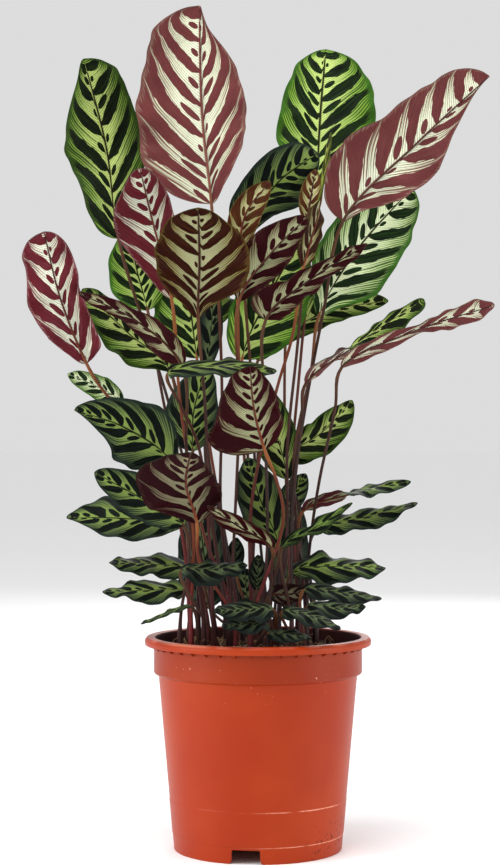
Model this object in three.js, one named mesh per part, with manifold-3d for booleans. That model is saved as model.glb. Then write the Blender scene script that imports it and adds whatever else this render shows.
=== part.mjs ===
// A potted peacock plant: a nursery pot full of soil, and patterned leaves on long stalks.
// Millimetres, +Z up. The origin lies on the ground under the middle of the pot, and -Y is the front.
import * as THREE from "three";
import Module from "manifold-3d";
import { mergeVertices } from "three/addons/utils/BufferGeometryUtils.js";

const wasm = await Module();
wasm.setup();

// Pot: a thin moulded shell with a hanging lip, a collar, a tapered wall and a foot ring
const POT_HEIGHT = 159;
const LIP_RADIUS = 85;
const LIP_DROP = 6;
const COLLAR_RADIUS = 78.2;
const COLLAR_FOOT = 132;
const WALL_TOP_RADIUS = 74.6;
const FOOT_RADIUS = 63;
const WALL = 1.6;
const FLOOR_HEIGHT = 11;
const FOOT_LAND = 1.8;
const FOOT_FLARE = 0.6;
const INNER_TAPER = 0.5;
const SHOULDER = 1.5;
const COLLAR_BEVEL = 0.4;
const LIP_BEVEL = 1.2;
const MOUTH_BEVEL = 1;
const POT_SIDES = 48;
const NOTCH_WIDTH = 21;
const NOTCH_HEIGHT = 10.5;
const NOTCH_REACH = 20;
const NOTCH_ANGLES = [-98.3, 21.7, 141.7];
const DRAIN_COUNT = 8;
const DRAIN_CIRCLE = 44;
const DRAIN_RADIUS = 4.5;
const DRAIN_SIDES = 12;

// Soil: fills the pot to just under the collar's top, with a pit round each crown of stalks. The mound's
// points are a share of the radius and the rise over the edge.
const GAP = 0.3;
const SOIL_EDGE = 147;
const SOIL_MIDDLE = 151;
const SOIL_MOUND = [[0.8, 1.6], [0.45, 3.4]];
const SOIL_SIDES = 32;
const PIT_RADIUS = 12.6;
const PIT_FLOOR = 140;
const PIT_SIDES = 8;

// Stalks and blades
const FOOT_CIRCLE = 8.4;
const SHEATH_RADIUS = 2.5;
const SHEATH_SHARE = 0.4;
const STALK_RADIUS = 1.15;
const STALK_SIDES = 6;
const RISE = 26;
const RISE_SHARE = 0.1;
const LEAN_HEIGHT = 0.55;
const LEAN_SHARE = 0.35;
const LOW_LEAN = 0.08;
const LOW_BEND = 5;
const TALL_STEPS = 7;
const LOW_STEPS = 4;
const LOW_BASE = 215;
const BLADE_THICKNESS = 0.8;
const RIB_DEPTH = 0.9;
const RIB_TAPER = 0.8;
const STEM_END = 0.04;
const STEM_THICKNESS = 0.6;
const LEAST_MARGIN = 0.2;
const TIP_HALF_WIDTH = 0.7;
const WAVE_SHIFT = 2;
const WAVE_SWAY = 1.1;
const WIDEST = 0.45;
const BASE_ROUNDNESS = 0.55;
const TIP_ROUNDNESS = 0.6;
const LARGE_ROWS = [0, 0.05, 0.15, 0.3, 0.46, 0.62, 0.77, 0.9, 1];
const SMALL_ROWS = [0, 0.1, 0.32, 0.58, 0.84, 1];
const SMALL_LENGTH = 68;
const COLUMNS = [-1, -0.5, 0, 0.5, 1];
const OUTLINE_SHARES = [0, 0.1, 0.3, 0.5, 0.7, 0.9, 1];

// Angles round a leaf's line, in degrees, at which the ten corners of a blade's first row lie
const ROW_ANGLES = [10, 50, 90, 130, 170, 190, 230, 270, 310, 350];

// The eye that the leaves were placed from, in front of the plant and level with its middle
const EYE = new THREE.Vector3(-6, -1530, 312);
const UP = new THREE.Vector3(0, 0, 1);

// Crowns: where the stalks come out of the soil, [x, y]
const CROWNS = {
  left: [-45, -7],
  leftFront: [-50, -33],
  frontLeft: [-24, -34],
  innerLeft: [-13, -6],
  backLeft: [-31, 23],
  front: [2, -40],
  inner: [4, 17],
  innerRight: [20, -13],
  right: [37, 11],
  back: [-10, 45],
  backRight: [24, 44],
  frontRight: [29, -43],
};

const COLOURS = { upper: 0x4c7a34, under: 0x74333a, pot: 0xb94723, soil: 0x33241a };

// Leaves. A spot is [across, height, depth]: across and height are read on the upright plane through the
// pot's axis, and depth carries it along the sight line, away from the eye. half is the half-width on the
// left and on the right, looking from base to tip. An outline gives the half-widths on the left and on the
// right at five places from base to tip instead. roll turns the upper side from facing the eye: 180 shows
// the underside, and base and tip may differ. A leaf with spread turns from facing up instead. fold lifts
// the halves from the midrib as a share of their width, arch bends them back down, and wave is the edge's
// height, count and start.
const LEAVES = [
  {
    name: "top_leaf_1", crown: "innerLeft", via: [[-28, 253, 0], [-27, 336, 5], [-29, 400, 8]],
    base: [-35, 484, 10], middle: [-42, 554, 21], tip: [-44, 633, 20],
    outline: [[36, 50, 49, 43, 33], [12, 29, 33, 27, 6]], roll: [180, 180], fold: 0.1, arch: 0.25, wave: [3, 3, 0],
  },
  {
    name: "top_leaf_2", crown: "left", via: [[-46, 240, 16], [-66, 330, 32], [-82, 382, 42]],
    base: [-105, 458, 40], middle: [-114, 526, 52], tip: [-131, 593, 48],
    outline: [[17, 24, 32, 25, 9], [12, 24, 29, 28, 23]], roll: [0, 0], fold: 0.1, arch: 0.2, wave: [3, 2, 1],
  },
  {
    name: "top_leaf_3", crown: "right", via: [[25, 253, 16], [34, 321, 8], [50, 407, -8]],
    base: [64, 471, -20], middle: [119, 529, -50], tip: [174, 580, -80],
    outline: [[28, 37, 30, 26, 20], [8, 23, 25, 12, 2]], roll: [180, 180], fold: 0.1, arch: 0.25, wave: [3, 4, 2],
  },
  {
    name: "top_leaf_4", crown: "backRight", via: [[25, 276, 56], [31, 355, 64], [38, 430, 72]],
    base: [44, 500, 80], middle: [47, 554, 94], tip: [51, 600, 112],
    outline: [[20, 33, 31, 27, 19], [22, 40, 45, 41, 28]], roll: [0, 0], fold: 0.1, arch: 0.2, wave: [3, 3, 0],
  },
  {
    name: "top_leaf_5", crown: "inner", via: [[0, 250, 38], [-5, 350, 40]],
    base: [-8, 460, 44], middle: [14, 499, 48], tip: [45, 522, 52],
    outline: [[19, 22, 22, 22, 15], [7, 16, 26, 25, 12]], roll: [8, 8], fold: 0.05, arch: 0.2, wave: [2, 2, 0],
  },
  {
    name: "top_leaf_6", crown: "right", via: [[27, 291, 20], [40, 359, 30]],
    base: [46, 400, 36], middle: [75, 450, 59], tip: [116, 496, 82],
    outline: [[10, 24, 28, 26, 15], [12, 32, 33, 29, 18]], roll: [0, 0], fold: 0.2, arch: 0.2, wave: [3, 3, 1],
  },
  {
    name: "top_leaf_7", crown: "innerLeft", via: [[-14, 330, 0]],
    base: [-14, 411, -6], middle: [10, 447, -18], tip: [37, 474, -30],
    outline: [[9, 18, 19, 15, 8], [8, 14, 15, 12, 6]], roll: [180, 180], fold: 0.1, arch: 0.2, wave: [2, 3, 0],
  },
  {
    name: "top_leaf_8", crown: "front", via: [[7, 227, -34], [5, 336, -30]],
    base: [6, 397, -30], middle: [39, 427, -47], tip: [82, 454, -68],
    outline: [[20, 13, 11, 9, 6], [10, 11, 10, 9, 5]], roll: [200, 225], fold: 0.1, arch: 0.2, wave: [3, 3, 2],
  },
  {
    name: "top_leaf_9", crown: "frontLeft", via: [[-35, 246, -30], [-40, 336, -32]],
    base: [-45, 398, -34], middle: [-44, 441, -56], tip: [-45, 481, -86],
    outline: [[10, 27, 32, 31, 23], [9, 32, 37, 33, 19]], roll: [180, 180], fold: 0.1, arch: 0.25, wave: [2, 3, 1],
  },
  {
    name: "top_leaf_10", crown: "innerLeft", via: [[-42, 240, -4], [-58, 330, -6]],
    base: [-65, 413, -8], middle: [-79, 470, -19], tip: [-89, 511, -42],
    outline: [[11, 21, 28, 25, 13], [9, 16, 17, 16, 11]], roll: [180, 180], fold: 0.1, arch: 0.2, wave: [2, 2, 0],
  },
  {
    name: "top_leaf_11", crown: "inner", via: [[-8, 260, 27], [-14, 350, 20]],
    base: [-14, 448, 20], middle: [-9, 477, 18], tip: [9, 501, 20],
    half: [12, 12], roll: [180, 180], fold: 0.1, arch: 0.2, wave: [1, 2, 0],
  },
  {
    name: "top_leaf_12", crown: "innerLeft", via: [[-5, 257, -10], [14, 344, 2], [26, 385, 10]],
    base: [34, 437, 14], middle: [45, 478, 16], tip: [55, 538, 18],
    half: [20, 20], roll: [235, 285], fold: 0.1, arch: 0.1, wave: [1, 2, 0],
  },
  {
    name: "top_leaf_13", crown: "innerRight", via: [[22, 240, -2], [22, 300, 14], [30, 380, 24], [34, 430, 35]],
    base: [37, 470, 43], middle: [40, 490, 47], tip: [43, 510, 52],
    half: [9, 9], roll: [180, 180], fold: 0.1, arch: 0.1, wave: [1, 2, 0],
  },
  {
    name: "left_leaf_1", crown: "left", via: [[-58, 240, -20], [-76, 283, -16], [-98, 321, -4], [-119, 347, 0]],
    base: [-129, 364, -6], middle: [-149, 414, -27], tip: [-161, 463, -39],
    outline: [[8, 19, 24, 20, 18], [15, 17, 16, 17, 13]], roll: [180, 180], fold: 0.1, arch: 0.2, wave: [3, 4, 1],
  },
  {
    name: "left_leaf_2", crown: "left", via: [[-50, 230, -18], [-54, 300, -22]],
    base: [-57, 362, -24], middle: [-91, 396, -28], tip: [-135, 417, -32],
    outline: [[9, 13, 9, 7, 5], [9, 13, 9, 7, 5]], roll: [148, 142], fold: 0.1, arch: 0.1, wave: [2, 3, 0],
  },
  {
    name: "left_leaf_3", crown: "backLeft", via: [[-60, 290, 20]],
    base: [-66, 358, 22], middle: [-98, 387, 24], tip: [-132, 420, 27],
    outline: [[9, 19, 20, 17, 10], [8, 16, 18, 15, 9]], roll: [25, 25], fold: 0.1, arch: 0.2, wave: [3, 3, 1],
  },
  {
    name: "left_leaf_4", crown: "backLeft", via: [[-70, 330, 54]],
    base: [-83, 404, 70], middle: [-91, 434, 76], tip: [-97, 466, 84],
    half: [23, 22], roll: [0, 0], fold: 0.1, arch: 0.2, wave: [2, 2, 1],
  },
  {
    name: "left_leaf_5", crown: "back", via: [[-36, 300, 56]],
    base: [-46, 368, 60], middle: [-51, 408, 72], tip: [-56, 449, 94],
    half: [29, 25], roll: [0, 0], fold: 0.1, arch: 0.2, wave: [2, 3, 1],
  },
  {
    name: "left_leaf_6", crown: "innerLeft", via: [[-38, 300, 24]],
    base: [-38, 361, 27], middle: [-35, 391, 28], tip: [-33, 419, 28],
    half: [9, 9], roll: [0, 0], fold: 0.1, arch: 0.2, wave: [1, 2, 1],
  },
  {
    name: "left_leaf_7", crown: "leftFront", via: [[-50, 250, -34]],
    base: [-65, 290, -30], middle: [-99, 315, -44], tip: [-138, 329, -61],
    outline: [[15, 24, 23, 13, 3], [19, 28, 24, 18, 9]], roll: [20, 20], fold: 0.1, arch: 0.2, wave: [3, 3, 1],
  },
  {
    name: "left_leaf_8", crown: "backLeft", via: [[-58, 260, 26]],
    base: [-102, 334, 22.0], middle: [-122, 347, 27], tip: [-143, 356, 33],
    half: [9, 10], roll: [15, 15], fold: 0.1, arch: 0.2, wave: [1.5, 2, 1],
  },
  {
    name: "left_leaf_9", crown: "leftFront", via: [[-52, 216, -34]],
    base: [-56, 242, -34], middle: [-89, 263, -48], tip: [-123, 282, -63],
    half: [16, 18], roll: [25, 25], fold: 0.1, arch: 0.2, wave: [2, 3, 1],
  },
  {
    name: "left_leaf_10", crown: "left", via: [[-52, 220, 4]],
    base: [-56, 241, 8], middle: [-100, 247, 6], tip: [-144, 248, 4],
    outline: [[8, 15, 19, 13, 4], [11, 20, 24, 22, 9]], roll: [35, 35], fold: 0.1, arch: 0.2, wave: [3, 2, 1],
  },
  {
    name: "left_leaf_11", crown: "backLeft", via: [[-44, 250, 16]],
    base: [-49, 298, 12], middle: [-48, 329, 15], tip: [-38, 362, 20],
    half: [21, 18], roll: [0, 0], fold: 0.1, arch: 0.2, wave: [2, 2, 1],
  },
  {
    name: "left_leaf_12", crown: "frontLeft", via: [[-44, 215, -46]],
    base: [-46, 244, -58], middle: [-54, 272, -88], tip: [-51, 297, -124],
    outline: [[9, 24, 35, 33, 17], [13, 23, 22, 20, 12]], roll: [180, 180], fold: 0.1, arch: 0.2, wave: [2, 3, 1],
  },
  {
    name: "middle_leaf_1", crown: "inner", via: [[-8, 300, 40]],
    base: [-12, 367, 46], middle: [6, 411, 56], tip: [32, 457, 70],
    half: [23, 34], roll: [0, 0], fold: 0.1, arch: 0.2, wave: [2, 3, 1],
  },
  {
    name: "middle_leaf_2", crown: "back", via: [[0, 300, 66]],
    base: [0, 366, 78], middle: [48, 401, 89], tip: [98, 411, 99],
    half: [22, 11], roll: [-20, -20], fold: 0.1, arch: 0.2, wave: [2, 3, 1],
  },
  {
    name: "middle_leaf_3", crown: "frontLeft", via: [[-44, 299, -40], [-58, 332, -42]],
    base: [-68, 356, -46], middle: [-30, 362, -52], tip: [14, 358, -54],
    outline: [[14, 18, 19, 18, 14], [14, 18, 19, 18, 14]], roll: [-72, -72], fold: 0.05, arch: 0.1, wave: [1, 2, 0],
  },
  {
    name: "middle_leaf_4", crown: "front", via: [[19, 246, -46], [14, 276, -54]],
    base: [5, 299, -62], middle: [-3, 330, -78], tip: [-6, 362, -93],
    outline: [[26, 37, 28, 21, 14], [12, 18, 18, 16, 9]], roll: [180, 180], fold: 0.1, arch: 0.2, wave: [2, 3, 1],
  },
  {
    name: "middle_leaf_5", crown: "inner", via: [[18, 225, 24]],
    base: [22, 277, 24], middle: [13, 314, 31], tip: [4, 347, 37],
    half: [18, 15], roll: [0, 0], fold: 0.1, arch: 0.2, wave: [2, 3, 1],
  },
  {
    name: "middle_leaf_6", crown: "inner", via: [[12, 200, 10]],
    base: [16, 225, 8], middle: [2, 261, 13], tip: [-8, 293, 19],
    half: [18, 18], roll: [0, 0], fold: 0.1, arch: 0.2, wave: [2, 3, 1],
  },
  {
    name: "middle_leaf_7", crown: "front", via: [[10, 205, -52]],
    base: [10, 226, -62], middle: [-13, 241, -72], tip: [-38, 257, -82],
    half: [14, 14], roll: [118, 118], fold: 0.1, arch: 0.1, wave: [1, 2, 1],
  },
  {
    name: "right_leaf_1", crown: "innerRight", via: [[26, 253, -14], [33, 321, -14]],
    base: [36, 349, -16], middle: [75, 379, -18], tip: [125, 412, -22],
    half: [11, 19], roll: [-117, -45], point: 0.4, fold: 0.1, arch: 0.1, wave: [1, 2, 1],
  },
  {
    name: "right_leaf_2", crown: "right", via: [[38, 216, 8], [46, 275, -26], [58, 330, -32]],
    base: [63, 361, -34], middle: [119, 389, -38], tip: [178, 408, -42],
    outline: [[8, 8, 5, 9, 9], [7, 8, 5, 9, 8]], roll: [-138, -140], fold: 0.1, arch: 0.1, wave: [2, 2, 1],
  },
  {
    name: "right_leaf_3", crown: "right", via: [[31, 255, 34]],
    base: [19, 290, 38], middle: [48, 312, 43], tip: [71, 336, 55],
    half: [12, 17], roll: [-15, -15], fold: 0.1, arch: 0.2, wave: [3, 3, 1],
  },
  {
    name: "right_leaf_4", crown: "backRight", via: [[22, 225, 43]],
    base: [20, 251, 46], middle: [27, 266, 46], tip: [36, 281, 46],
    half: [10, 10], roll: [0, 0], fold: 0.1, arch: 0.2, wave: [1, 2, 1],
  },
  {
    name: "right_leaf_5", crown: "right", via: [[30, 225, 10]],
    base: [34, 253, 4], middle: [73, 267, 0], tip: [115, 275, -4],
    half: [11, 14], roll: [-128, -48], fold: 0.1, arch: 0.1, wave: [1.5, 2, 1],
  },
  {
    name: "right_leaf_6", crown: "right", via: [[38, 216, 14]],
    base: [44, 239, 14], middle: [80, 248, 14], tip: [120, 259, 14],
    half: [12, 13], roll: [-46, -60], fold: 0.1, arch: 0.2, wave: [3, 2, 1],
  },
  {
    name: "right_leaf_7", crown: "frontRight", via: [],
    base: [18, 225, -30], middle: [45, 241, -38], tip: [71, 259, -44],
    half: [12, 10], roll: [-66, -66], fold: 0.1, arch: 0.1, wave: [1, 2, 1],
  },
  {
    name: "right_leaf_8", crown: "innerRight", via: [],
    base: [25, 206, -10], middle: [62, 211, -8], tip: [96, 210, -8],
    half: [17, 18], roll: [-46, -60], fold: 0.1, arch: 0.2, wave: [3, 2, 4],
  },
  {
    name: "right_leaf_9", crown: "frontRight", via: [],
    base: [34, 193, -34], middle: [64, 191, -38], tip: [93, 187, -42],
    half: [10, 12], roll: [-50, -60], fold: 0.1, arch: 0.2, wave: [1.5, 2, 1],
  },
  {
    name: "right_leaf_10", crown: "frontRight", via: [],
    base: [37, 181, -51], middle: [60, 180, -58], tip: [81, 181, -62],
    half: [10, 11], roll: [-55, -55], fold: 0.1, arch: 0.2, wave: [2, 2, 3],
  },
  {
    name: "right_leaf_11", crown: "frontRight", via: [],
    base: [18, 177, -62], middle: [40, 174, -75], tip: [62, 164, -85],
    half: [11, 11], roll: [-58, -58], fold: 0.1, arch: 0.2, wave: [2, 2, 1],
  },
  {
    name: "low_leaf_1", crown: "innerRight", via: [],
    base: [8, 188, -26], middle: [22, 190, -26], tip: [37, 192, -28],
    half: [9, 10], roll: [145, 150], fold: 0.1, arch: 0.2, wave: [1, 2, 1],
  },
  {
    name: "low_leaf_2", crown: "frontRight", via: [],
    base: [8, 161, -59], middle: [23, 160, -69], tip: [40, 157, -77],
    half: [10, 10], roll: [-62, -62], fold: 0.1, arch: 0.2, wave: [1, 2, 1],
  },
  {
    name: "low_leaf_3", crown: "front", via: [],
    base: [12, 178, -62], middle: [-10, 179, -76], tip: [-33, 177, -86],
    half: [13, 14], roll: [55, 55], fold: 0.1, arch: 0.2, wave: [2, 2, 1],
  },
  {
    name: "low_leaf_4", crown: "front", via: [],
    base: [8, 168, -64], middle: [-9, 168, -78], tip: [-27, 166, -87],
    half: [11, 13], roll: [60, 60], fold: 0.1, arch: 0.2, wave: [2, 2, 4],
  },
  {
    name: "low_leaf_5", crown: "backLeft", via: [],
    base: [-47, 206, 16], middle: [-81, 213, 12], tip: [-112, 214, 6],
    half: [14, 16], roll: [50, 62], fold: 0.1, arch: 0.2, wave: [3, 2, 1],
  },
  {
    name: "low_leaf_6", crown: "frontLeft", via: [],
    base: [-58, 208, -58], middle: [-35, 209, -68], tip: [-8, 212, -76],
    half: [13, 16], roll: [-56, -56], fold: 0.1, arch: 0.2, wave: [3, 2, 3],
  },
  {
    name: "low_leaf_7", crown: "left", via: [],
    base: [-54, 191, -4], middle: [-84, 193, -12], tip: [-117, 192, -20],
    half: [13, 15], roll: [52, 64], fold: 0.1, arch: 0.2, wave: [3, 2, 5],
  },
  {
    name: "low_leaf_8", crown: "leftFront", via: [],
    base: [-50, 181, -41], middle: [-68, 176, -50], tip: [-88, 168, -60],
    half: [9, 9], roll: [78, 78], fold: 0.1, arch: 0.1, wave: [1, 2, 1],
  },
  {
    name: "low_leaf_9", crown: "inner", via: [],
    base: [-17, 207, 14], middle: [-17, 220, 14], tip: [-16, 233, 12],
    half: [7, 7], roll: [0, 0], fold: 0.1, arch: 0.2, wave: [1, 2, 1],
  },
  {
    name: "low_leaf_10", crown: "innerLeft", via: [],
    base: [-1, 193, -22], middle: [0, 206, -22], tip: [0, 220, -22],
    half: [7, 7], roll: [0, 0], fold: 0.1, arch: 0.2, wave: [1, 2, 1],
  },
  {
    name: "rear_leaf_1", crown: "backLeft", via: [[-40, 300, 70]], spread: true,
    base: [-36, 392, 90], middle: [-44, 420, 110], tip: [-52, 424, 124],
    half: [28, 28], roll: [0, 0], fold: 0.1, arch: 0.2, wave: [2, 3, 1],
  },
  {
    name: "rear_leaf_2", crown: "backRight", via: [[20, 320, 80]], spread: true,
    base: [22, 400, 96], middle: [28, 430, 114], tip: [32, 438, 128],
    half: [28, 28], roll: [0, 0], fold: 0.1, arch: 0.2, wave: [2, 3, 2],
  },
  {
    name: "rear_leaf_3", crown: "back", via: [],
    base: [-36, 180, 64], middle: [-40, 216, 86], tip: [-46, 262, 110],
    half: [22, 22], roll: [0, 0], fold: 0.1, arch: 0.2, wave: [2, 2, 1],
  },
  {
    name: "rear_leaf_4", crown: "back", via: [],
    base: [20, 180, 64], middle: [22, 219, 87], tip: [27, 264, 110],
    half: [16, 18], roll: [0, 0], fold: 0.1, arch: 0.2, wave: [2, 2, 1],
  },
  {
    name: "rear_leaf_5", crown: "backRight", via: [],
    base: [-6, 166, 58], middle: [-8, 186, 66], tip: [-10, 210, 72],
    half: [17, 17], roll: [0, 0], fold: 0.1, arch: 0.2, wave: [2, 2, 1],
  },
];

/** A spot on the plane through the pot's axis, carried along its sight line to its own depth. */
function seen([across, height, depth]) {
  const reach = (depth - EYE.y) / -EYE.y;
  return new THREE.Vector3(EYE.x + (across - EYE.x) * reach, depth, EYE.z + (height - EYE.z) * reach);
}

/** A closed geometry as a manifold solid, with its shared corners merged and its empty faces dropped. */
function solidOf(geometry) {
  const bare = geometry.clone();
  bare.deleteAttribute("normal");
  bare.deleteAttribute("uv");
  const merged = mergeVertices(bare, 1e-4);
  const corners = merged.index.array;
  const faces = [];
  for (let i = 0; i < corners.length; i += 3) {
    const [a, b, c] = [corners[i], corners[i + 1], corners[i + 2]];
    if (a !== b && b !== c && c !== a) faces.push(a, b, c);
  }
  const mesh = new wasm.Mesh({
    numProp: 3,
    vertProperties: new Float32Array(merged.attributes.position.array),
    triVerts: new Uint32Array(faces),
  });
  return new wasm.Manifold(mesh);
}

/** A manifold solid as a geometry. */
function geometryOf(solid) {
  const mesh = solid.getMesh();
  const geometry = new THREE.BufferGeometry();
  geometry.setAttribute("position", new THREE.BufferAttribute(new Float32Array(mesh.vertProperties), 3));
  geometry.setIndex(new THREE.BufferAttribute(new Uint32Array(mesh.triVerts), 1));
  geometry.computeVertexNormals();
  return geometry;
}

/** A profile of [radius, height] points turned about the pot's axis. */
function turned(profile, sides) {
  const points = profile.map(([radius, height]) => new THREE.Vector2(radius, height));
  return new THREE.LatheGeometry(points, sides).rotateX(Math.PI / 2);
}

/** An upright cylinder from one height to another, centred on [x, y]. */
function post([x, y], radius, sides, low, high) {
  const cylinder = new THREE.CylinderGeometry(radius, radius, high - low, sides);
  return cylinder.rotateX(Math.PI / 2).translate(x, y, (low + high) / 2);
}

/** The pot's inner radius at the top of the collar, the collar's foot and the floor. */
function innerRadii() {
  const floor = FOOT_RADIUS + INNER_TAPER - WALL;
  return { top: COLLAR_RADIUS - WALL, collar: WALL_TOP_RADIUS - WALL, floor };
}

/** Pot: turned shell, notched at the foot and drained through the floor. */
function potGeometry() {
  const inner = innerRadii();
  const ledge = POT_HEIGHT - WALL;
  const floorTop = FLOOR_HEIGHT + WALL;
  const profile = [
    [0, FLOOR_HEIGHT],
    [FOOT_RADIUS - FOOT_LAND - FOOT_FLARE, FLOOR_HEIGHT],
    [FOOT_RADIUS - FOOT_LAND, 0],
    [FOOT_RADIUS, 0],
    [WALL_TOP_RADIUS, COLLAR_FOOT - SHOULDER],
    [COLLAR_RADIUS - COLLAR_BEVEL, COLLAR_FOOT],
    [COLLAR_RADIUS, COLLAR_FOOT + COLLAR_BEVEL],
    [COLLAR_RADIUS, ledge],
    [LIP_RADIUS - WALL, ledge],
    [LIP_RADIUS - WALL, POT_HEIGHT - LIP_DROP],
    [LIP_RADIUS, POT_HEIGHT - LIP_DROP],
    [LIP_RADIUS, POT_HEIGHT - LIP_BEVEL],
    [LIP_RADIUS - LIP_BEVEL, POT_HEIGHT],
    [inner.top + MOUTH_BEVEL, POT_HEIGHT],
    [inner.top, POT_HEIGHT - MOUTH_BEVEL],
    [inner.top, COLLAR_FOOT + SHOULDER],
    [inner.collar, COLLAR_FOOT - SHOULDER],
    [inner.floor, floorTop],
    [0, floorTop],
  ];
  let pot = solidOf(turned(profile, POT_SIDES));
  for (const angle of NOTCH_ANGLES) {
    const notch = new THREE.BoxGeometry(NOTCH_REACH, NOTCH_WIDTH, NOTCH_HEIGHT * 2);
    notch.translate(FOOT_RADIUS, 0, 0).rotateZ(THREE.MathUtils.degToRad(angle));
    pot = pot.subtract(solidOf(notch));
  }
  for (let i = 0; i < DRAIN_COUNT; i += 1) {
    const angle = (2 * Math.PI * i) / DRAIN_COUNT;
    const centre = [DRAIN_CIRCLE * Math.cos(angle), DRAIN_CIRCLE * Math.sin(angle)];
    pot = pot.subtract(solidOf(post(centre, DRAIN_RADIUS, DRAIN_SIDES, 0, 2 * floorTop)));
  }
  return geometryOf(pot);
}

/** Soil: fills the pot up to a low mound, with a pit at each crown. */
function soilGeometry() {
  const inner = innerRadii();
  const profile = [
    [0, FLOOR_HEIGHT + WALL + GAP],
    [inner.floor - GAP, FLOOR_HEIGHT + WALL + GAP],
    [inner.collar - GAP, COLLAR_FOOT - SHOULDER],
    [inner.top - GAP, COLLAR_FOOT + SHOULDER + GAP],
    [inner.top - GAP, SOIL_EDGE],
    ...SOIL_MOUND.map(([share, rise]) => [inner.top * share, SOIL_EDGE + rise]),
    [0, SOIL_MIDDLE],
  ];
  let soil = solidOf(turned(profile, SOIL_SIDES));
  for (const centre of Object.values(CROWNS)) {
    soil = soil.subtract(solidOf(post(centre, PIT_RADIUS, PIT_SIDES, PIT_FLOOR, POT_HEIGHT)));
  }
  return geometryOf(soil);
}

/** Feet: each crown's stalks stand evenly in a ring, each as near as it can to the side that it leans to. */
function feetOf(leaves) {
  const feet = new Map();
  for (const [crown, [x, y]] of Object.entries(CROWNS)) {
    const heading = (leaf) => {
      const base = seen(leaf.base);
      return Math.atan2(base.y - y, base.x - x);
    };
    const ring = leaves.filter((leaf) => leaf.crown === crown).sort((a, b) => heading(a) - heading(b));
    const step = (2 * Math.PI) / ring.length;
    let [east, north] = [0, 0];
    ring.forEach((leaf, i) => {
      east += Math.cos(heading(leaf) - i * step);
      north += Math.sin(heading(leaf) - i * step);
    });
    const start = Math.atan2(north, east);
    ring.forEach((leaf, i) => {
      const angle = start + i * step;
      const foot = [x + FOOT_CIRCLE * Math.cos(angle), y + FOOT_CIRCLE * Math.sin(angle)];
      feet.set(leaf.name, new THREE.Vector3(foot[0], foot[1], PIT_FLOOR + GAP));
    });
  }
  return feet;
}

/** A leaf's line: from its foot, straight up out of the soil, along its stalk and midrib to the tip. */
function lineOf(leaf, foot) {
  const base = seen(leaf.base);
  const stops = leaf.via.map(seen);
  if (base.z > LOW_BASE) {
    const first = stops.length > 0 ? stops[0] : base;
    const rise = foot.clone().lerp(first, RISE_SHARE);
    rise.z = SOIL_MIDDLE + RISE;
    if (stops.length === 0) {
      const lean = foot.clone().lerp(base, LEAN_SHARE);
      lean.z = foot.z + LEAN_HEIGHT * (base.z - foot.z);
      stops.push(lean);
    }
    stops.unshift(rise);
  } else {
    const bend = foot.clone().lerp(base, LOW_LEAN);
    bend.z = SOIL_MIDDLE + LOW_BEND;
    stops.unshift(bend);
  }
  const points = [foot, ...stops, base, seen(leaf.middle), seen(leaf.tip)];
  return { curve: new THREE.CatmullRomCurve3(points, false, "centripetal"), spans: points.length - 1 };
}

/** The frame at a place on a leaf's line: its point, the way along, the upper side's way and the right's. */
function frameAt(leaf, line, place, roll) {
  const share = Math.min(place / line.spans, 1);
  const point = line.curve.getPoint(share);
  const along = line.curve.getTangent(share);
  const toward = leaf.spread ? UP.clone() : EYE.clone().sub(point).normalize();
  const facing = toward.addScaledVector(along, -toward.dot(along)).normalize();
  const aside = new THREE.Vector3().crossVectors(along, facing);
  const turn = THREE.MathUtils.degToRad(roll);
  const upper = facing.clone().multiplyScalar(Math.cos(turn)).addScaledVector(aside, Math.sin(turn));
  const right = aside.clone().multiplyScalar(Math.cos(turn)).addScaledVector(facing, -Math.sin(turn));
  return { point, along, upper, right };
}

/** How wide a blade is at t, from 0 to 1: a rounded base, widest at widest, and a pointed tip. */
function breadth(t, widest, round, point) {
  const bend = Math.log(0.5) / Math.log(widest);
  const late = THREE.MathUtils.smoothstep(t, widest, 1);
  const power = THREE.MathUtils.lerp(round, point, late);
  return Math.sin(Math.PI * t ** bend) ** power;
}

/** The place round a half circle, from 0 to 1, that stands over a share of its width. */
function roundPlace(share) {
  return Math.acos(1 - 2 * share) / Math.PI;
}

/** The height at a place of the smooth curve through values at given places. */
function curveThrough(places, values, place) {
  const last = places.length - 1;
  let i = 0;
  while (i < last - 1 && place > places[i + 1]) i += 1;
  const slope = (k) => {
    const [before, after] = [Math.max(k - 1, 0), Math.min(k + 1, last)];
    return (values[after] - values[before]) / (places[after] - places[before]);
  };
  const gap = places[i + 1] - places[i];
  const f = (place - places[i]) / gap;
  const bends = f * (1 - f) * ((1 - f) * slope(i) - f * slope(i + 1)) * gap;
  return THREE.MathUtils.lerp(values[i], values[i + 1], f * f * (3 - 2 * f)) + bends;
}

/** A blade's share of its full width, and its half-width, on both sides at t, as they are seen. */
function sidesAt(leaf, t) {
  return [0, 1].map((side) => {
    if (leaf.outline) {
      const widths = leaf.outline[side];
      const half = curveThrough(OUTLINE_SHARES.map(roundPlace), [0, ...widths, 0], roundPlace(t));
      return { shape: half / Math.max(...widths), half };
    }
    const choose = (value, usual) => (Array.isArray(value) ? value[side] : value ?? usual);
    const shape = breadth(
      t, choose(leaf.wide, WIDEST), choose(leaf.round, BASE_ROUNDNESS), choose(leaf.point, TIP_ROUNDNESS),
    );
    return { shape, half: leaf.half[side] * shape };
  });
}

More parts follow.
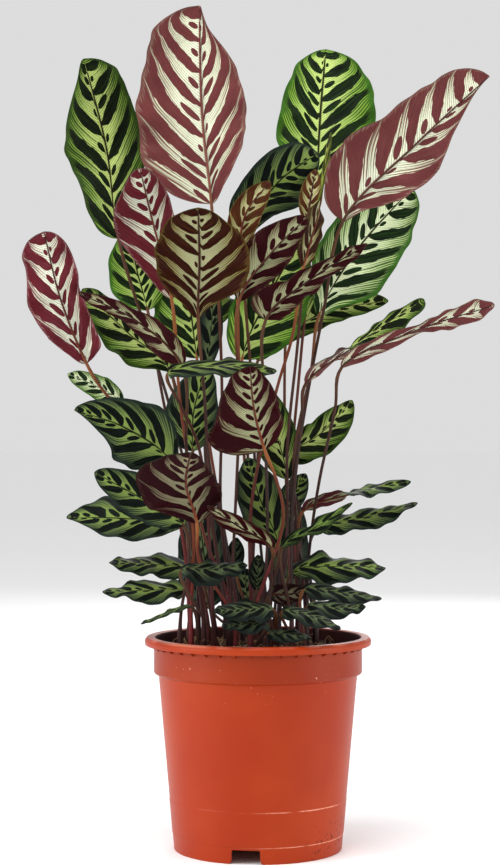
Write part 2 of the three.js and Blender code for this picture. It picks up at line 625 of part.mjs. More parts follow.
/** One row of a blade at t: the corners of its upper and lower faces, from left to right. */
function bladeRow(leaf, line, t) {
  const roll = THREE.MathUtils.lerp(leaf.roll[0], leaf.roll[1], THREE.MathUtils.smoothstep(t, 0, 1));
  const { point, upper, right } = frameAt(leaf, line, line.spans - 2 + 2 * t, roll);
  const flipped = Math.cos(THREE.MathUtils.degToRad((leaf.roll[0] + leaf.roll[1]) / 2)) < 0;
  const sides = sidesAt(leaf, t);
  if (flipped) sides.reverse();
  const least = THREE.MathUtils.lerp(STALK_RADIUS + LEAST_MARGIN, TIP_HALF_WIDTH, t);
  const [height, count, start] = leaf.wave;
  const row = { top: [], bottom: [] };
  for (const s of COLUMNS) {
    const { shape, half: wanted } = s < 0 ? sides[0] : sides[1];
    const half = Math.max(least, wanted);
    const turns = 2 * Math.PI * count * t + start + (s > 0 ? WAVE_SHIFT : 0);
    const ripple = height * shape * Math.sin(turns + WAVE_SWAY * Math.sin(2 * Math.PI * t + turns / count));
    const lift = half * (leaf.fold * Math.abs(s) - leaf.arch * s * s) + ripple * s * s;
    const slope = Math.sign(s) * (leaf.fold - 2 * leaf.arch * Math.abs(s)) + (2 * ripple * s) / half;
    const centre = point.clone().addScaledVector(right, s * half).addScaledVector(upper, lift);
    const normal = upper.clone().addScaledVector(right, -slope * shape).normalize();
    const rib = s === 0 ? RIB_DEPTH * (1 - RIB_TAPER * t) : 0;
    const stem = Math.max(0, 1 - t / STEM_END) * STEM_THICKNESS;
    row.top.push(centre.clone().addScaledVector(normal, BLADE_THICKNESS / 2 + stem));
    row.bottom.push(centre.clone().addScaledVector(normal, -BLADE_THICKNESS / 2 - rib - stem));
  }
  return row;
}

/** The stalk's rings of corners, from the foot to just short of the blade. */
function stalkRings(leaf, line) {
  const steps = seen(leaf.base).z < LOW_BASE ? LOW_STEPS : TALL_STEPS;
  const rings = [];
  for (let i = 0; i < steps; i += 1) {
    const share = i / steps;
    const { point, upper, right } = frameAt(leaf, line, share * (line.spans - 2), leaf.roll[0]);
    const thin = THREE.MathUtils.smoothstep(share, 0, SHEATH_SHARE);
    const radius = THREE.MathUtils.lerp(SHEATH_RADIUS, STALK_RADIUS, thin);
    const ring = [];
    for (let k = 0; k < STALK_SIDES; k += 1) {
      const angle = (2 * Math.PI * k) / STALK_SIDES;
      const corner = point.clone().addScaledVector(right, radius * Math.cos(angle));
      corner.addScaledVector(upper, radius * Math.sin(angle));
      if (i === 0) corner.z = point.z;
      ring.push(corner);
    }
    rings.push(ring);
  }
  return rings;
}

/** Faces between the last stalk ring and the blade's first row, matched by their angle round the line. */
function joinFaces(ring, row) {
  const loop = [...row.top].reverse().concat(row.bottom);
  const faces = [];
  let [a, b] = [0, 0];
  while (a < ring.length || b < loop.length) {
    const nextRing = (360 * (a + 1)) / ring.length;
    const nextRow = b + 1 < loop.length ? ROW_ANGLES[b + 1] : 360 + ROW_ANGLES[0];
    const [p, q] = [ring[a % ring.length], loop[b % loop.length]];
    if (b >= loop.length || (a < ring.length && nextRing <= nextRow)) {
      a += 1;
      faces.push(p, q, ring[a % ring.length]);
    } else {
      b += 1;
      faces.push(p, q, loop[b % loop.length]);
    }
  }
  return faces;
}

/** Two triangles for a four-cornered face. */
function quad(a, b, c, d) {
  return [a, b, c, a, c, d];
}

/** A leaf: one closed skin from its foot, up its stalk, and round both faces of its blade. */
function leafGeometry(leaf, foot) {
  const line = lineOf(leaf, foot);
  const length = seen(leaf.base).distanceTo(seen(leaf.tip));
  const places = length < SMALL_LENGTH ? SMALL_ROWS : LARGE_ROWS;
  const corners = [];
  const numbered = (points) => points.map((point) => corners.push(point) - 1);
  const rings = stalkRings(leaf, line).map(numbered);
  const rows = places.map((t) => bladeRow(leaf, line, t));
  const blade = rows.map((row) => ({ top: numbered(row.top), bottom: numbered(row.bottom) }));

  const faces = [];
  for (let k = 1; k + 1 < STALK_SIDES; k += 1) faces.push(rings[0][0], rings[0][k], rings[0][k + 1]);
  for (let i = 0; i + 1 < rings.length; i += 1) {
    const [lower, upper] = [rings[i], rings[i + 1]];
    for (let k = 0; k < STALK_SIDES; k += 1) {
      const next = (k + 1) % STALK_SIDES;
      faces.push(...quad(lower[k], upper[k], upper[next], lower[next]));
    }
  }
  faces.push(...joinFaces(rings[rings.length - 1], blade[0]));
  const last = COLUMNS.length - 1;
  for (let i = 0; i + 1 < blade.length; i += 1) {
    const [near, far] = [blade[i], blade[i + 1]];
    for (let j = 0; j < last; j += 1) {
      faces.push(...quad(near.top[j], near.top[j + 1], far.top[j + 1], far.top[j]));
      faces.push(near.bottom[j], far.bottom[j + 1], near.bottom[j + 1]);
      faces.push(near.bottom[j], far.bottom[j], far.bottom[j + 1]);
    }
    faces.push(...quad(near.top[last], near.bottom[last], far.bottom[last], far.top[last]));
    faces.push(...quad(near.bottom[0], near.top[0], far.top[0], far.bottom[0]));
  }
  const end = blade[blade.length - 1];
  for (let j = 0; j < last; j += 1) {
    faces.push(...quad(end.top[j], end.top[j + 1], end.bottom[j + 1], end.bottom[j]));
  }
  const geometry = new THREE.BufferGeometry().setFromPoints(corners);
  geometry.setIndex(faces);
  geometry.computeVertexNormals();
  return geometry;
}

/** A named mesh with its own material. */
function piece(name, geometry, colour, roughness) {
  const material = new THREE.MeshStandardMaterial({ color: colour, roughness, metalness: 0 });
  const mesh = new THREE.Mesh(geometry, material);
  mesh.name = name;
  return mesh;
}

const plant = new THREE.Group();
plant.add(piece("pot", potGeometry(), COLOURS.pot, 0.45));
plant.add(piece("soil", soilGeometry(), COLOURS.soil, 0.95));
const feet = feetOf(LEAVES);
for (const leaf of LEAVES) {
  const shade = Math.cos(THREE.MathUtils.degToRad(leaf.roll[0])) < 0 ? COLOURS.under : COLOURS.upper;
  plant.add(piece(leaf.name, leafGeometry(leaf, feet.get(leaf.name)), shade, 0.5));
}

export default plant;
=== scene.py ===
"""A potted peacock plant: a nursery pot of soil, and patterned leaves on long stalks.

The leaves repeat the part's own rule in a finer mesh: each one is placed by a foot at its crown, a few
spots along its stalk, and the base, middle and tip of its midrib. Sizes are millimetres until a mesh is
made, +Z is up, -Y is the front, and the origin lies on the ground under the middle of the pot.
"""

import logging
from dataclasses import dataclass, field
from enum import Enum
from typing import Any, Sequence

import bpy
import numpy as np
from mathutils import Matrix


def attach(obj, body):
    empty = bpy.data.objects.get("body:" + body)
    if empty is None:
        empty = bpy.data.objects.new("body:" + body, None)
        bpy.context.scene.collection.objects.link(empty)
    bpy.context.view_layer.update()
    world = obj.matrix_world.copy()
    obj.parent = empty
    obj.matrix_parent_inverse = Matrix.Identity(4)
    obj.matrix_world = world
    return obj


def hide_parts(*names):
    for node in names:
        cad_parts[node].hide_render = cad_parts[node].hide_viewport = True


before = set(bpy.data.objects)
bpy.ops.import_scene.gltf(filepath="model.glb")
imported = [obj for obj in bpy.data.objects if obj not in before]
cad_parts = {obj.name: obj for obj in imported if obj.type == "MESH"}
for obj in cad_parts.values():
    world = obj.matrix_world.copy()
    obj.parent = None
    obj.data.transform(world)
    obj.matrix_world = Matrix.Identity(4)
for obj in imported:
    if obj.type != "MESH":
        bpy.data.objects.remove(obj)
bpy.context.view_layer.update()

Array = np.ndarray
Spot = tuple[float, float, float]
Widths = tuple[float, float, float, float, float]
Pair = tuple[float, float]
Colour = tuple[float, float, float, float]
Material = bpy.types.Material
Piece = bpy.types.Object

log = logging.getLogger("peacock plant")

MM = 0.001
BODY = "root"

# The eye that the leaves were placed from, in front of the plant and level with its middle
EYE = np.array([-6.0, -1530.0, 312.0])
UP = np.array([0.0, 0.0, 1.0])

# The picture: its size in pixels, and how many of them one metre covers at one metre away
PICTURE = (500, 865)
FOCUS = 2034.6
FILM = 36.0


def smoothstep(x: Array, low: float = 0.0, high: float = 1.0) -> Array:
    """Zero below low, one above high, and 3u^2 - 2u^3 between."""
    u = np.clip((x - low) / (high - low), 0.0, 1.0)
    return u * u * (3.0 - 2.0 * u)


def mixed(start: Any, end: Any, share: Any) -> Any:
    """The value a share of the way from start to end."""
    return start + (end - start) * share


def unit(vectors: Array) -> Array:
    """Each vector at length one."""
    return vectors / np.linalg.norm(vectors, axis=-1, keepdims=True)


def dots(first: Array, second: Array) -> Array:
    """Row by row dot products, kept as a column."""
    return np.sum(first * second, axis=-1, keepdims=True)


def seen(spot: Spot) -> Array:
    """A spot read on the upright plane through the pot's axis, carried along its sight line to its depth.

    Args:
        spot: How far across and how high it is seen, and its depth away from the eye.

    Returns:
        The point, in millimetres.
    """
    across, height, depth = spot
    reach = (depth - EYE[1]) / -EYE[1]
    return np.array([EYE[0] + (across - EYE[0]) * reach, depth, EYE[2] + (height - EYE[2]) * reach])


def path(points: Array, places: Array) -> tuple[Array, Array]:
    """A centripetal Catmull-Rom curve: cubic spans whose speed follows the root of each span's length.

    Args:
        points: The points that it passes, one a row.
        places: Where to read it, as a span's number plus the share of that span.

    Returns:
        The points read and the unit ways along the curve there.
    """
    full = np.vstack([2 * points[0] - points[1], points, 2 * points[-1] - points[-2]])
    knots = np.sqrt(np.linalg.norm(np.diff(full, axis=0), axis=1))
    span = np.clip(np.floor(places).astype(int), 0, len(points) - 2)
    w = (places - span)[:, None]
    before, start, end, after = (full[span + k] for k in range(4))
    d0, d1, d2 = (knots[span + k][:, None] for k in range(3))
    leave = ((start - before) / d0 - (end - before) / (d0 + d1) + (end - start) / d1) * d1
    reach = ((end - start) / d1 - (after - start) / (d1 + d2) + (after - end) / d2) * d1
    square = 3 * (end - start) - 2 * leave - reach
    cube = 2 * (start - end) + leave + reach
    spots = start + leave * w + square * w**2 + cube * w**3
    return spots, unit(leave + 2 * square * w + 3 * cube * w**2)


def waves(x: Array, y: Array, pitch: float, seed: int, count: int = 24) -> Array:
    """Smooth seeded unevenness: the mean of many sines of random ways and starts, near one pitch.

    Args:
        x: One coordinate, in millimetres.
        y: The other coordinate, in millimetres.
        pitch: The usual distance between two crests.
        seed: Which unevenness.
        count: How many sines.

    Returns:
        Values that are mostly between -1 and 1.
    """
    draw = np.random.default_rng(seed)
    turn, start = draw.uniform(0, 2 * np.pi, (2, count))
    rate = 2 * np.pi / (pitch * draw.uniform(0.6, 1.6, count))
    wave = np.multiply.outer(x, np.cos(turn) * rate) + np.multiply.outer(y, np.sin(turn) * rate)
    return np.sin(wave + start).sum(axis=-1) * np.sqrt(2.0 / count)


def round_place(share: Array) -> Array:
    """The place round a half circle, from 0 to 1, that stands over a share of its width."""
    return np.arccos(1 - 2 * share) / np.pi


def spokes(angle: Array, right: Array, upper: Array) -> Array:
    """The unit ways at these angles round each row's right and upper ways."""
    return np.cos(angle)[:, None] * right[:, None] + np.sin(angle)[:, None] * upper[:, None]


def outward(angle: float) -> tuple[Array, Array]:
    """The level unit way at an angle round the pot's axis, and the one that goes aside from it."""
    return np.array([np.cos(angle), np.sin(angle)]), np.array([-np.sin(angle), np.cos(angle)])


def curve_through(places: Array, values: Array, place: Array) -> Array:
    """Heights of the smooth curve through values at given places.

    Args:
        places: Where the values stand, rising.
        values: The heights there.
        place: Where to read the curve.

    Returns:
        One height for each place.
    """
    last = len(places) - 1
    before, after = np.maximum(np.arange(last + 1) - 1, 0), np.minimum(np.arange(last + 1) + 1, last)
    slope = (values[after] - values[before]) / (places[after] - places[before])
    i = np.clip(np.searchsorted(places, place, side="left") - 1, 0, last - 1)
    gap = places[i + 1] - places[i]
    f = (place - places[i]) / gap
    bends = f * (1 - f) * ((1 - f) * slope[i] - f * slope[i + 1]) * gap
    return mixed(values[i], values[i + 1], f * f * (3 - 2 * f)) + bends


@dataclass
class Skin:
    """A closed surface as arrays: corners in millimetres, four-cornered faces, UV and finish of each face."""

    points: Array
    faces: Array
    uv: Array
    finish: Array

    @staticmethod
    def wrapped(grid: Array, uv: Array, finish: Array | int = 0) -> "Skin":
        """Rows of closed rings joined into a tube, with both ends closed by a ladder of faces.

        Args:
            grid: Corners by row and by place round the ring, turning clockwise seen along the rows.
            uv: The two map coordinates of each corner, by row and place.
            finish: The finish number of each face between two rows, by place, or one for all.

        Returns:
            The closed skin, facing out.
        """
        rows, ring = grid.shape[:2]
        index = np.arange(rows * ring).reshape(rows, ring)
        turned = np.roll(index, -1, axis=1)
        sides = np.stack([index[:-1], turned[:-1], turned[1:], index[1:]], axis=-1).reshape(-1, 4)
        kinds = np.tile(np.broadcast_to(finish, ring), rows - 1)
        j = np.arange(ring // 2 - 1)
        rungs = np.stack([j, j + 1, ring - 2 - j, ring - 1 - j], axis=-1)
        ends = np.vstack([index[0][rungs[:, ::-1]], index[-1][rungs]])
        faces = np.vstack([sides, ends])
        kinds = np.concatenate([kinds, np.full(len(ends), kinds[0])])
        return Skin(grid.reshape(-1, 3), faces, uv.reshape(-1, 2)[faces], kinds)

    @staticmethod
    def plain(grid: Array) -> "Skin":
        """A closed skin of one finish, whose map counts round the rings and along the rows."""
        rows, ring = grid.shape[:2]
        marks = np.meshgrid(np.linspace(0, 1, rows), np.linspace(0, 1, ring), indexing="ij")
        return Skin.wrapped(grid, np.stack(marks[::-1], axis=-1))

    @staticmethod
    def joined(skins: Sequence["Skin"]) -> "Skin":
        """Several skins as one, each still closed."""
        starts = np.cumsum([0] + [len(skin.points) for skin in skins[:-1]])
        return Skin(
            np.vstack([skin.points for skin in skins]),
            np.vstack([skin.faces + start for skin, start in zip(skins, starts)]),
            np.vstack([skin.uv for skin in skins]),
            np.concatenate([skin.finish for skin in skins]),
        )

    def made(self, name: str, materials: Sequence[Material], crease: float = 50.0) -> Piece:
        """The skin as a smooth Blender object at the origin, in metres.

        Args:
            name: The object's name.
            materials: Its material slots, in the order of the finish numbers.
            crease: The angle, in degrees, past which an edge stays sharp.

        Returns:
            The object, linked to the scene.
        """
        mesh = bpy.data.meshes.new(name)
        mesh.vertices.add(len(self.points))
        mesh.vertices.foreach_set("co", (self.points * MM).astype(np.float32).ravel())
        sides = self.faces.shape[1]
        mesh.loops.add(self.faces.size)
        mesh.loops.foreach_set("vertex_index", self.faces.astype(np.int32).ravel())
        mesh.polygons.add(len(self.faces))
        mesh.polygons.foreach_set("loop_start", np.arange(0, self.faces.size, sides, dtype=np.int32))
        mesh.polygons.foreach_set("material_index", self.finish.astype(np.int32))
        mesh.update(calc_edges=True)
        mesh.uv_layers.new(name="surface").data.foreach_set("uv", self.uv.astype(np.float32).ravel())
        mesh.validate()
        mesh.shade_smooth()
        mesh.set_sharp_from_angle(angle=np.radians(crease))
        for material in materials:
            mesh.materials.append(material)
        piece = bpy.data.objects.new(name, mesh)
        bpy.context.scene.collection.objects.link(piece)
        return piece


def settle(piece: Piece, slot: str, *nodes: str) -> None:
    """Rides a piece on the plant's one body and hides the nodes that it stands for."""
    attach(piece, BODY)
    if nodes:
        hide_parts(*nodes)
    log.info("%s: %d faces", piece.name, len(piece.data.polygons))


class Signal:
    """A node's output socket that takes Python's arithmetic, each step adding a Math node."""

    def __init__(self, tree: "Tree", socket: bpy.types.NodeSocket) -> None:
        """Wraps a socket of a tree."""
        self.tree = tree
        self.socket = socket

    def math(self, operation: str, *values: "Signal | float") -> "Signal":
        """One Math node on these values."""
        return self.tree.add("ShaderNodeMath", {"operation": operation}, dict(enumerate(values)))

    def __add__(self, other: "Signal | float") -> "Signal":
        """Sum."""
        return self.math("ADD", self, other)

    __radd__ = __add__

    def __sub__(self, other: "Signal | float") -> "Signal":
        """Difference."""
        return self.math("SUBTRACT", self, other)

    def __rsub__(self, other: float) -> "Signal":
        """A number less this."""
        return self.math("SUBTRACT", other, self)

    def __mul__(self, other: "Signal | float") -> "Signal":
        """Product."""
        return self.math("MULTIPLY", self, other)

    __rmul__ = __mul__

    def __truediv__(self, other: "Signal | float") -> "Signal":
        """Quotient."""
        return self.math("DIVIDE", self, other)

    def __pow__(self, other: float) -> "Signal":
        """Power."""
        return self.math("POWER", self, other)

    def __abs__(self) -> "Signal":
        """Size without sign."""
        return self.math("ABSOLUTE", self)

    def floor(self) -> "Signal":
        """The whole number below."""
        return self.math("FLOOR", self)

    def cosine(self) -> "Signal":
        """Cosine of an angle in radians."""
        return self.math("COSINE", self)

    def over(self, other: "Signal | float") -> "Signal":
        """The larger of two."""
        return self.math("MAXIMUM", self, other)

    def rise(self, low: float, high: float) -> "Signal":
        """A smooth step from 0 at low to 1 at high."""
        settings = {"interpolation_type": "SMOOTHSTEP"}
        ends = {"Value": self, "From Min": low, "From Max": high, "To Min": 0.0, "To Max": 1.0}
        return self.tree.add("ShaderNodeMapRange", settings, ends)


def paint(red: int, green: int, blue: int) -> Colour:
    """A screen colour, 0 to 255 a channel, as the linear colour that a shader takes."""
    screen = np.array([red, green, blue]) / 255.0
    linear = np.where(screen <= 0.04045, screen / 12.92, ((screen + 0.055) / 1.055) ** 2.4)
    return (*linear.tolist(), 1.0)


class Tree:
    """One material's node tree, with one method that adds any node."""

    def __init__(self, name: str) -> None:
        """Starts a material with no nodes."""
        self.material = bpy.data.materials.new(name)
        self.material.use_nodes = True
        self.tree = self.material.node_tree
        self.tree.nodes.clear()

    def add(
        self, kind: str, settings: dict[str, Any], inputs: dict[int | str, Any], output: int | str = 0
    ) -> Signal:
        """Adds a node.

        Args:
            kind: The node's type.
            settings: Its own settings, set first; stops are a colour ramp's places and colours.
            inputs: Values or signals by socket name or number.
            output: The socket that is wanted.

        Returns:
            The wanted output as a signal.
        """
        node = self.tree.nodes.new(kind)
        for key, value in settings.items():
            if key == "stops":
                ramp = node.color_ramp
                for place, colour in value[1:-1]:
                    ramp.elements.new(place).color = colour
                ramp.elements[0].position, ramp.elements[0].color = value[0]
                ramp.elements[-1].position, ramp.elements[-1].color = value[-1]
            else:
                setattr(node, key, value)
        for key, value in inputs.items():
            if isinstance(value, Signal):
                self.tree.links.new(value.socket, node.inputs[key])
            else:
                node.inputs[key].default_value = value
        return Signal(self, node.outputs[output])

    def place(self) -> Signal:
        """Object coordinates, in metres."""
        return self.add("ShaderNodeTexCoord", {}, {}, "Object")

    def parts(self, vector: Signal) -> tuple[Signal, Signal, Signal]:
        """The three numbers of a vector."""
        node = self.add("ShaderNodeSeparateXYZ", {}, {0: vector}).socket.node
        return tuple(Signal(self, socket) for socket in node.outputs)

    def surface(self) -> tuple[Signal, Signal]:
        """The two coordinates of the piece's own map."""
        return self.parts(self.add("ShaderNodeUVMap", {"uv_map": "surface"}, {}))[:2]

    def vector(self, *values: Signal | float) -> Signal:
        """A vector from up to three numbers."""
        return self.add("ShaderNodeCombineXYZ", {}, dict(enumerate(values)))

    def noise(self, at: Signal, scale: float, detail: float = 2.0, rough: float = 0.5) -> Signal:
        """Cloudy noise from 0 to 1."""
        inputs = {"Vector": at, "Scale": scale, "Detail": detail, "Roughness": rough}
        return self.add("ShaderNodeTexNoise", {}, inputs)

    def between(self, share: Signal, first: Signal | float, second: Signal | float) -> Signal:
        """The number a share of the way from the first to the second."""
        return self.add("ShaderNodeMix", {"data_type": "FLOAT"}, {0: share, 2: first, 3: second})

    def chance(self, number: Signal) -> Signal:
        """A random number from 0 to 1 for each whole number."""
        return self.add("ShaderNodeTexWhiteNoise", {"noise_dimensions": "1D"}, {"W": number})

    def blend(self, share: Signal | float, first: Signal | Colour, second: Signal | Colour) -> Signal:
        """The colour a share of the way from the first to the second."""
        return self.add("ShaderNodeMix", {"data_type": "RGBA"}, {0: share, 6: first, 7: second}, 2)

    def shaded(self, colour: Signal, share: Signal | float) -> Signal:
        """A colour made darker or lighter by a factor that may vary."""
        settings = {"data_type": "RGBA", "blend_type": "MULTIPLY"}
        grey = self.vector(share, share, share) if isinstance(share, Signal) else (share, share, share, 1.0)
        return self.add("ShaderNodeMix", settings, {0: 1.0, 6: colour, 7: grey}, 2)

    def painted_crown_shade(self) -> Signal:
        """How far the place is inside the thick of the stalks: a mask of painted shade, where the crown
        shadows itself.
        """
        x, y, z = self.parts(self.place())
        middle = 1.0 - ((x * x + y * y) ** 0.5).rise(0.02, 0.065)
        return middle * (1.0 - z.rise(0.2, 0.4))

    def ramp(self, share: Signal, stops: Sequence[tuple[float, Colour]]) -> Signal:
        """The colour at a share of the way through several stops."""
        return self.add("ShaderNodeValToRGB", {"stops": stops}, {"Fac": share})

    def bumped(self, height: Signal, distance: float, strength: float = 1.0) -> Signal:
        """The normal over a relief of that height, in metres."""
        inputs = {"Strength": strength, "Distance": distance, "Height": height}
        return self.add("ShaderNodeBump", {}, inputs, "Normal")

    def finished(self, **inputs: Any) -> Material:
        """Ends the tree in a Principled shader with these inputs, underscores standing for spaces."""
        named = {key.replace("_", " "): value for key, value in inputs.items()}
        shader = self.add("ShaderNodeBsdfPrincipled", {}, named)
        self.add_output(shader)
        return self.material

    def add_output(self, shader: Signal) -> None:
        """Joins a shader to the material's output."""
        output = self.tree.nodes.new("ShaderNodeOutputMaterial")
        self.tree.links.new(shader.socket, output.inputs["Surface"])


class Face(Enum):
    """The two faces of a blade."""

    UPPER = "upper"
    UNDER = "under"


@dataclass(frozen=True)
class BladeFinish:
    """The painted pattern of one face of a blade, in its own colours."""

    stripe: Colour
    stripe_edge: Colour
    blotch: Colour
    margin: Colour
    rib: Colour
    girth: float
    spread: float
    edge: Pair
    roughness: float = 0.42
    fingers: float = 8.0
    vein_lines: float = 11.0

    def material(self, name: str) -> Material:
        """Long dark blotches and small ovals between pale stripes that split into fingers at the margin.

        The map's first number counts the lateral veins' periods along the midrib, and its second is the
        share of the way from the midrib to the edge. A blotch is where a period's middle is nearer than a
        bump of that share; an oval is an ellipse between two blotches.
        """
        tree = Tree(name)
        phase, across = tree.surface()
        place = tree.place()
        wobble = (tree.noise(place, 150.0, 1.0) - 0.5) * 0.14
        streak = tree.noise(tree.vector(phase * 9.0, across * 1.6), 1.0, 2.0)

        blotch_number = phase.floor()
        from_blotch = phase - blotch_number - 0.5
        chance = tree.chance(blotch_number)
        swell = across.rise(-0.16, 0.34) * (self.girth + 0.05 * chance)
        swell = swell + across.rise(0.45, 0.95) * self.spread
        blotch = (swell - abs(from_blotch + wobble)).rise(-0.006, 0.018)

        stripe_number = (phase + 0.5).floor()
        from_stripe = phase + 0.5 - stripe_number - 0.5
        luck = tree.chance(stripe_number + 0.37)
        length = 0.03 + 0.17 * luck
        round_about = (from_stripe / (0.12 + 0.04 * luck)) ** 2.0
        oval = 1.0 - round_about - ((across - 0.035 - length) / length) ** 2.0
        oval = (oval + wobble).rise(-0.02, 0.16)

        finger_number = (phase * self.fingers).floor()
        finger_luck = tree.chance(finger_number + 0.71)
        wide = across.rise(0.25, 0.95) * 0.6 + (finger_luck ** 3.0) * 0.45 * across.rise(0.05, 0.3)
        from_finger = abs(phase * self.fingers - finger_number - 0.5) * 2.0
        finger = (wide - from_finger + (streak - 0.5) * 0.14).rise(-0.03, 0.14)
        edge = (across + (streak - 0.5) * 0.2).rise(*self.edge)

        veins = ((phase * (2 * np.pi * self.vein_lines)).cosine() * 0.5 + 0.5) ** 2.5
        mesh_noise = tree.noise(place, 900.0, 1.0)
        pale = tree.blend(across.rise(0.1, 0.9), self.stripe, self.stripe_edge)
        pale = tree.shaded(pale, 1.14 - veins * 0.5 - mesh_noise * 0.2)
        dark_line = tree.blend(0.55, self.margin, self.blotch)
        colour = tree.blend(finger * 0.9, pale, dark_line)
        colour = tree.blend(edge, colour, self.margin)
        # Painted sheen: the blotches are lightened along streaks toward the margin colour.
        dark = tree.blend(streak.rise(0.35, 0.8) * 0.3, self.blotch, self.margin)
        colour = tree.blend(blotch.over(oval) * (1.0 - edge * 0.8), colour, dark)
        rib = 1.0 - across.rise(0.012, 0.04)
        colour = tree.blend(rib, colour, self.rib)
        cloud = tree.noise(place, 45.0, 3.0)
        # Random tone from the cloud, and painted shade on blades in the thick of the crown.
        colour = tree.shaded(colour, (0.55 + cloud * 0.5) * (1.0 - tree.painted_crown_shade() * 0.45))

        relief = veins * 0.35 + mesh_noise * 0.4 + tree.noise(place, 320.0, 2.0) * 0.5
        return tree.finished(
            Base_Color=colour,
            Roughness=self.roughness + (cloud - 0.5) * 0.16 + finger * 0.04,
            Normal=tree.bumped(relief, 0.00035),
            Specular_IOR_Level=0.05,
        )


Rgb = tuple[int, int, int]


def upper_face(*rows: Rgb) -> BladeFinish:
    """An upper face's finish: the blotches thin out before a feathery margin."""
    return BladeFinish(*(paint(*row) for row in rows), girth=0.27, spread=-0.15, edge=(0.82, 0.94))


def under_face(*rows: Rgb) -> BladeFinish:
    """An under face's finish: the blotches widen until they meet in the margin."""
    return BladeFinish(*(paint(*row) for row in rows), girth=0.24, spread=0.18, edge=(0.9, 1.0))


class Tint(Enum):
    """The leaves' colourings: the finish of the upper face and of the under face.

    Each finish's rows are its stripe, stripe edge, blotch, margin and rib, 0 to 255 a channel.
    """

    LIME = (
        upper_face((178, 196, 112), (104, 136, 48), (10, 16, 6), (44, 66, 20), (34, 22, 8)),
        under_face((214, 222, 182), (196, 200, 158), (112, 50, 54), (106, 66, 60), (118, 48, 52)),
    )
    FRESH = (
        upper_face((204, 228, 130), (142, 188, 66), (15, 24, 12), (60, 104, 30), (34, 32, 10)),
        under_face((218, 224, 182), (200, 204, 158), (116, 52, 56), (118, 76, 68), (122, 50, 52)),
    )
    CREAM = (
        upper_face((226, 238, 192), (176, 204, 128), (14, 26, 12), (56, 98, 32), (36, 30, 14)),
        under_face((222, 226, 188), (200, 204, 158), (112, 50, 54), (112, 74, 66), (118, 48, 52)),
    )
    MOSS = (
        upper_face((144, 168, 86), (96, 116, 72), (9, 16, 11), (38, 50, 42), (26, 26, 14)),
        under_face((180, 184, 146), (150, 150, 116), (88, 34, 42), (80, 44, 46), (92, 36, 42)),
    )
    # A darker copy of the leaf colourings: painted shade for the low, inner and rear leaves.
    DEEP = (
        upper_face((98, 114, 74), (46, 57, 47), (8, 13, 10), (24, 33, 30), (24, 24, 14)),
        under_face((146, 146, 112), (122, 118, 92), (74, 26, 34), (66, 34, 38), (78, 28, 34)),
    )
    ROSE = (
        upper_face((178, 196, 112), (104, 136, 48), (10, 16, 6), (44, 66, 20), (34, 22, 8)),
        under_face((238, 242, 212), (214, 212, 180), (106, 52, 53), (122, 78, 72), (122, 54, 55)),
    )
    PINK = (
        upper_face((160, 186, 98), (100, 136, 52), (12, 18, 10), (42, 66, 26), (34, 22, 10)),
        under_face((242, 246, 222), (226, 218, 196), (98, 30, 38), (132, 74, 84), (112, 36, 44)),
    )
    # Its under face is painted as lit through from behind: a painted glow of light through the leaf.
    OLIVE = (
        upper_face((152, 160, 84), (112, 126, 52), (24, 24, 10), (64, 72, 26), (50, 32, 14)),
        under_face((222, 218, 160), (196, 188, 118), (84, 38, 22), (122, 104, 50), (104, 48, 30)),
    )
    BACKLIT = (
        upper_face((160, 168, 78), (116, 132, 46), (32, 30, 12), (74, 80, 26), (50, 32, 14)),
        under_face((186, 186, 140), (140, 130, 74), (46, 11, 6), (86, 60, 22), (60, 16, 10)),
    )
    # WINE's colouring with a dimmer under face: painted shade for low leaves.
    DUSK = (
        upper_face((120, 148, 72), (74, 98, 46), (10, 16, 10), (36, 52, 28), (28, 24, 14)),
        under_face((150, 146, 114), (106, 94, 74), (40, 6, 12), (46, 12, 17), (48, 10, 16)),
    )
    WINE = (
        upper_face((120, 148, 72), (74, 98, 46), (10, 16, 10), (36, 52, 28), (28, 24, 14)),
        under_face((182, 184, 142), (138, 124, 92), (48, 6, 12), (54, 13, 19), (54, 10, 16)),
    )


@dataclass(frozen=True)
class StalkFinish:
    """A stalk's colours by the share of its length, and the midrib's after them."""

    rib: Colour
    rib_end: Colour
    foot: Colour = paint(62, 6, 14)
    sheath: Colour = paint(112, 20, 20)
    shin: Colour = paint(108, 46, 18)
    neck: Colour = paint(146, 84, 34)
    heel: Colour = paint(156, 92, 48)
    ribs: float = 9.0

    def material(self, name: str) -> Material:
        """Colour by the map's second number, 0 at the foot, 1 at the blade and 2 at its tip, with fine ribs.

        The map's first number holds the leaf's own number, so each stalk is lighter or darker by chance.
        """
        tree = Tree(name)
        around, along = tree.surface()
        place = tree.place()
        number = around.floor()
        luck = tree.chance(number + 0.13)
        stops = [
            (0.0, self.foot), (0.07, self.sheath), (0.17, self.sheath), (0.27, self.shin), (0.38, self.shin),
            (0.46, self.neck), (0.5, self.heel), (0.56, self.rib), (1.0, self.rib_end),
        ]
        patch = tree.noise(place, 60.0, 3.0)
        colour = tree.ramp(along * 0.5 + (patch - 0.5) * 0.05, stops)
        line = (around * (2 * np.pi * self.ribs)).cosine() * 0.5 + 0.5
        bright = 0.26 + (luck ** 2.0) * 0.95 + (patch - 0.5) * 0.3 - line * 0.1
        # Painted shade: stalks in the thick of the crown are darkened.
        colour = tree.shaded(colour, bright * (1.0 - tree.painted_crown_shade() * 0.6))
        return tree.finished(
            Base_Color=colour,
            Roughness=0.36 + patch * 0.16,
            Normal=tree.bumped(line * 0.6 + patch * 0.6, 0.0003),
            Specular_IOR_Level=0.25,
        )


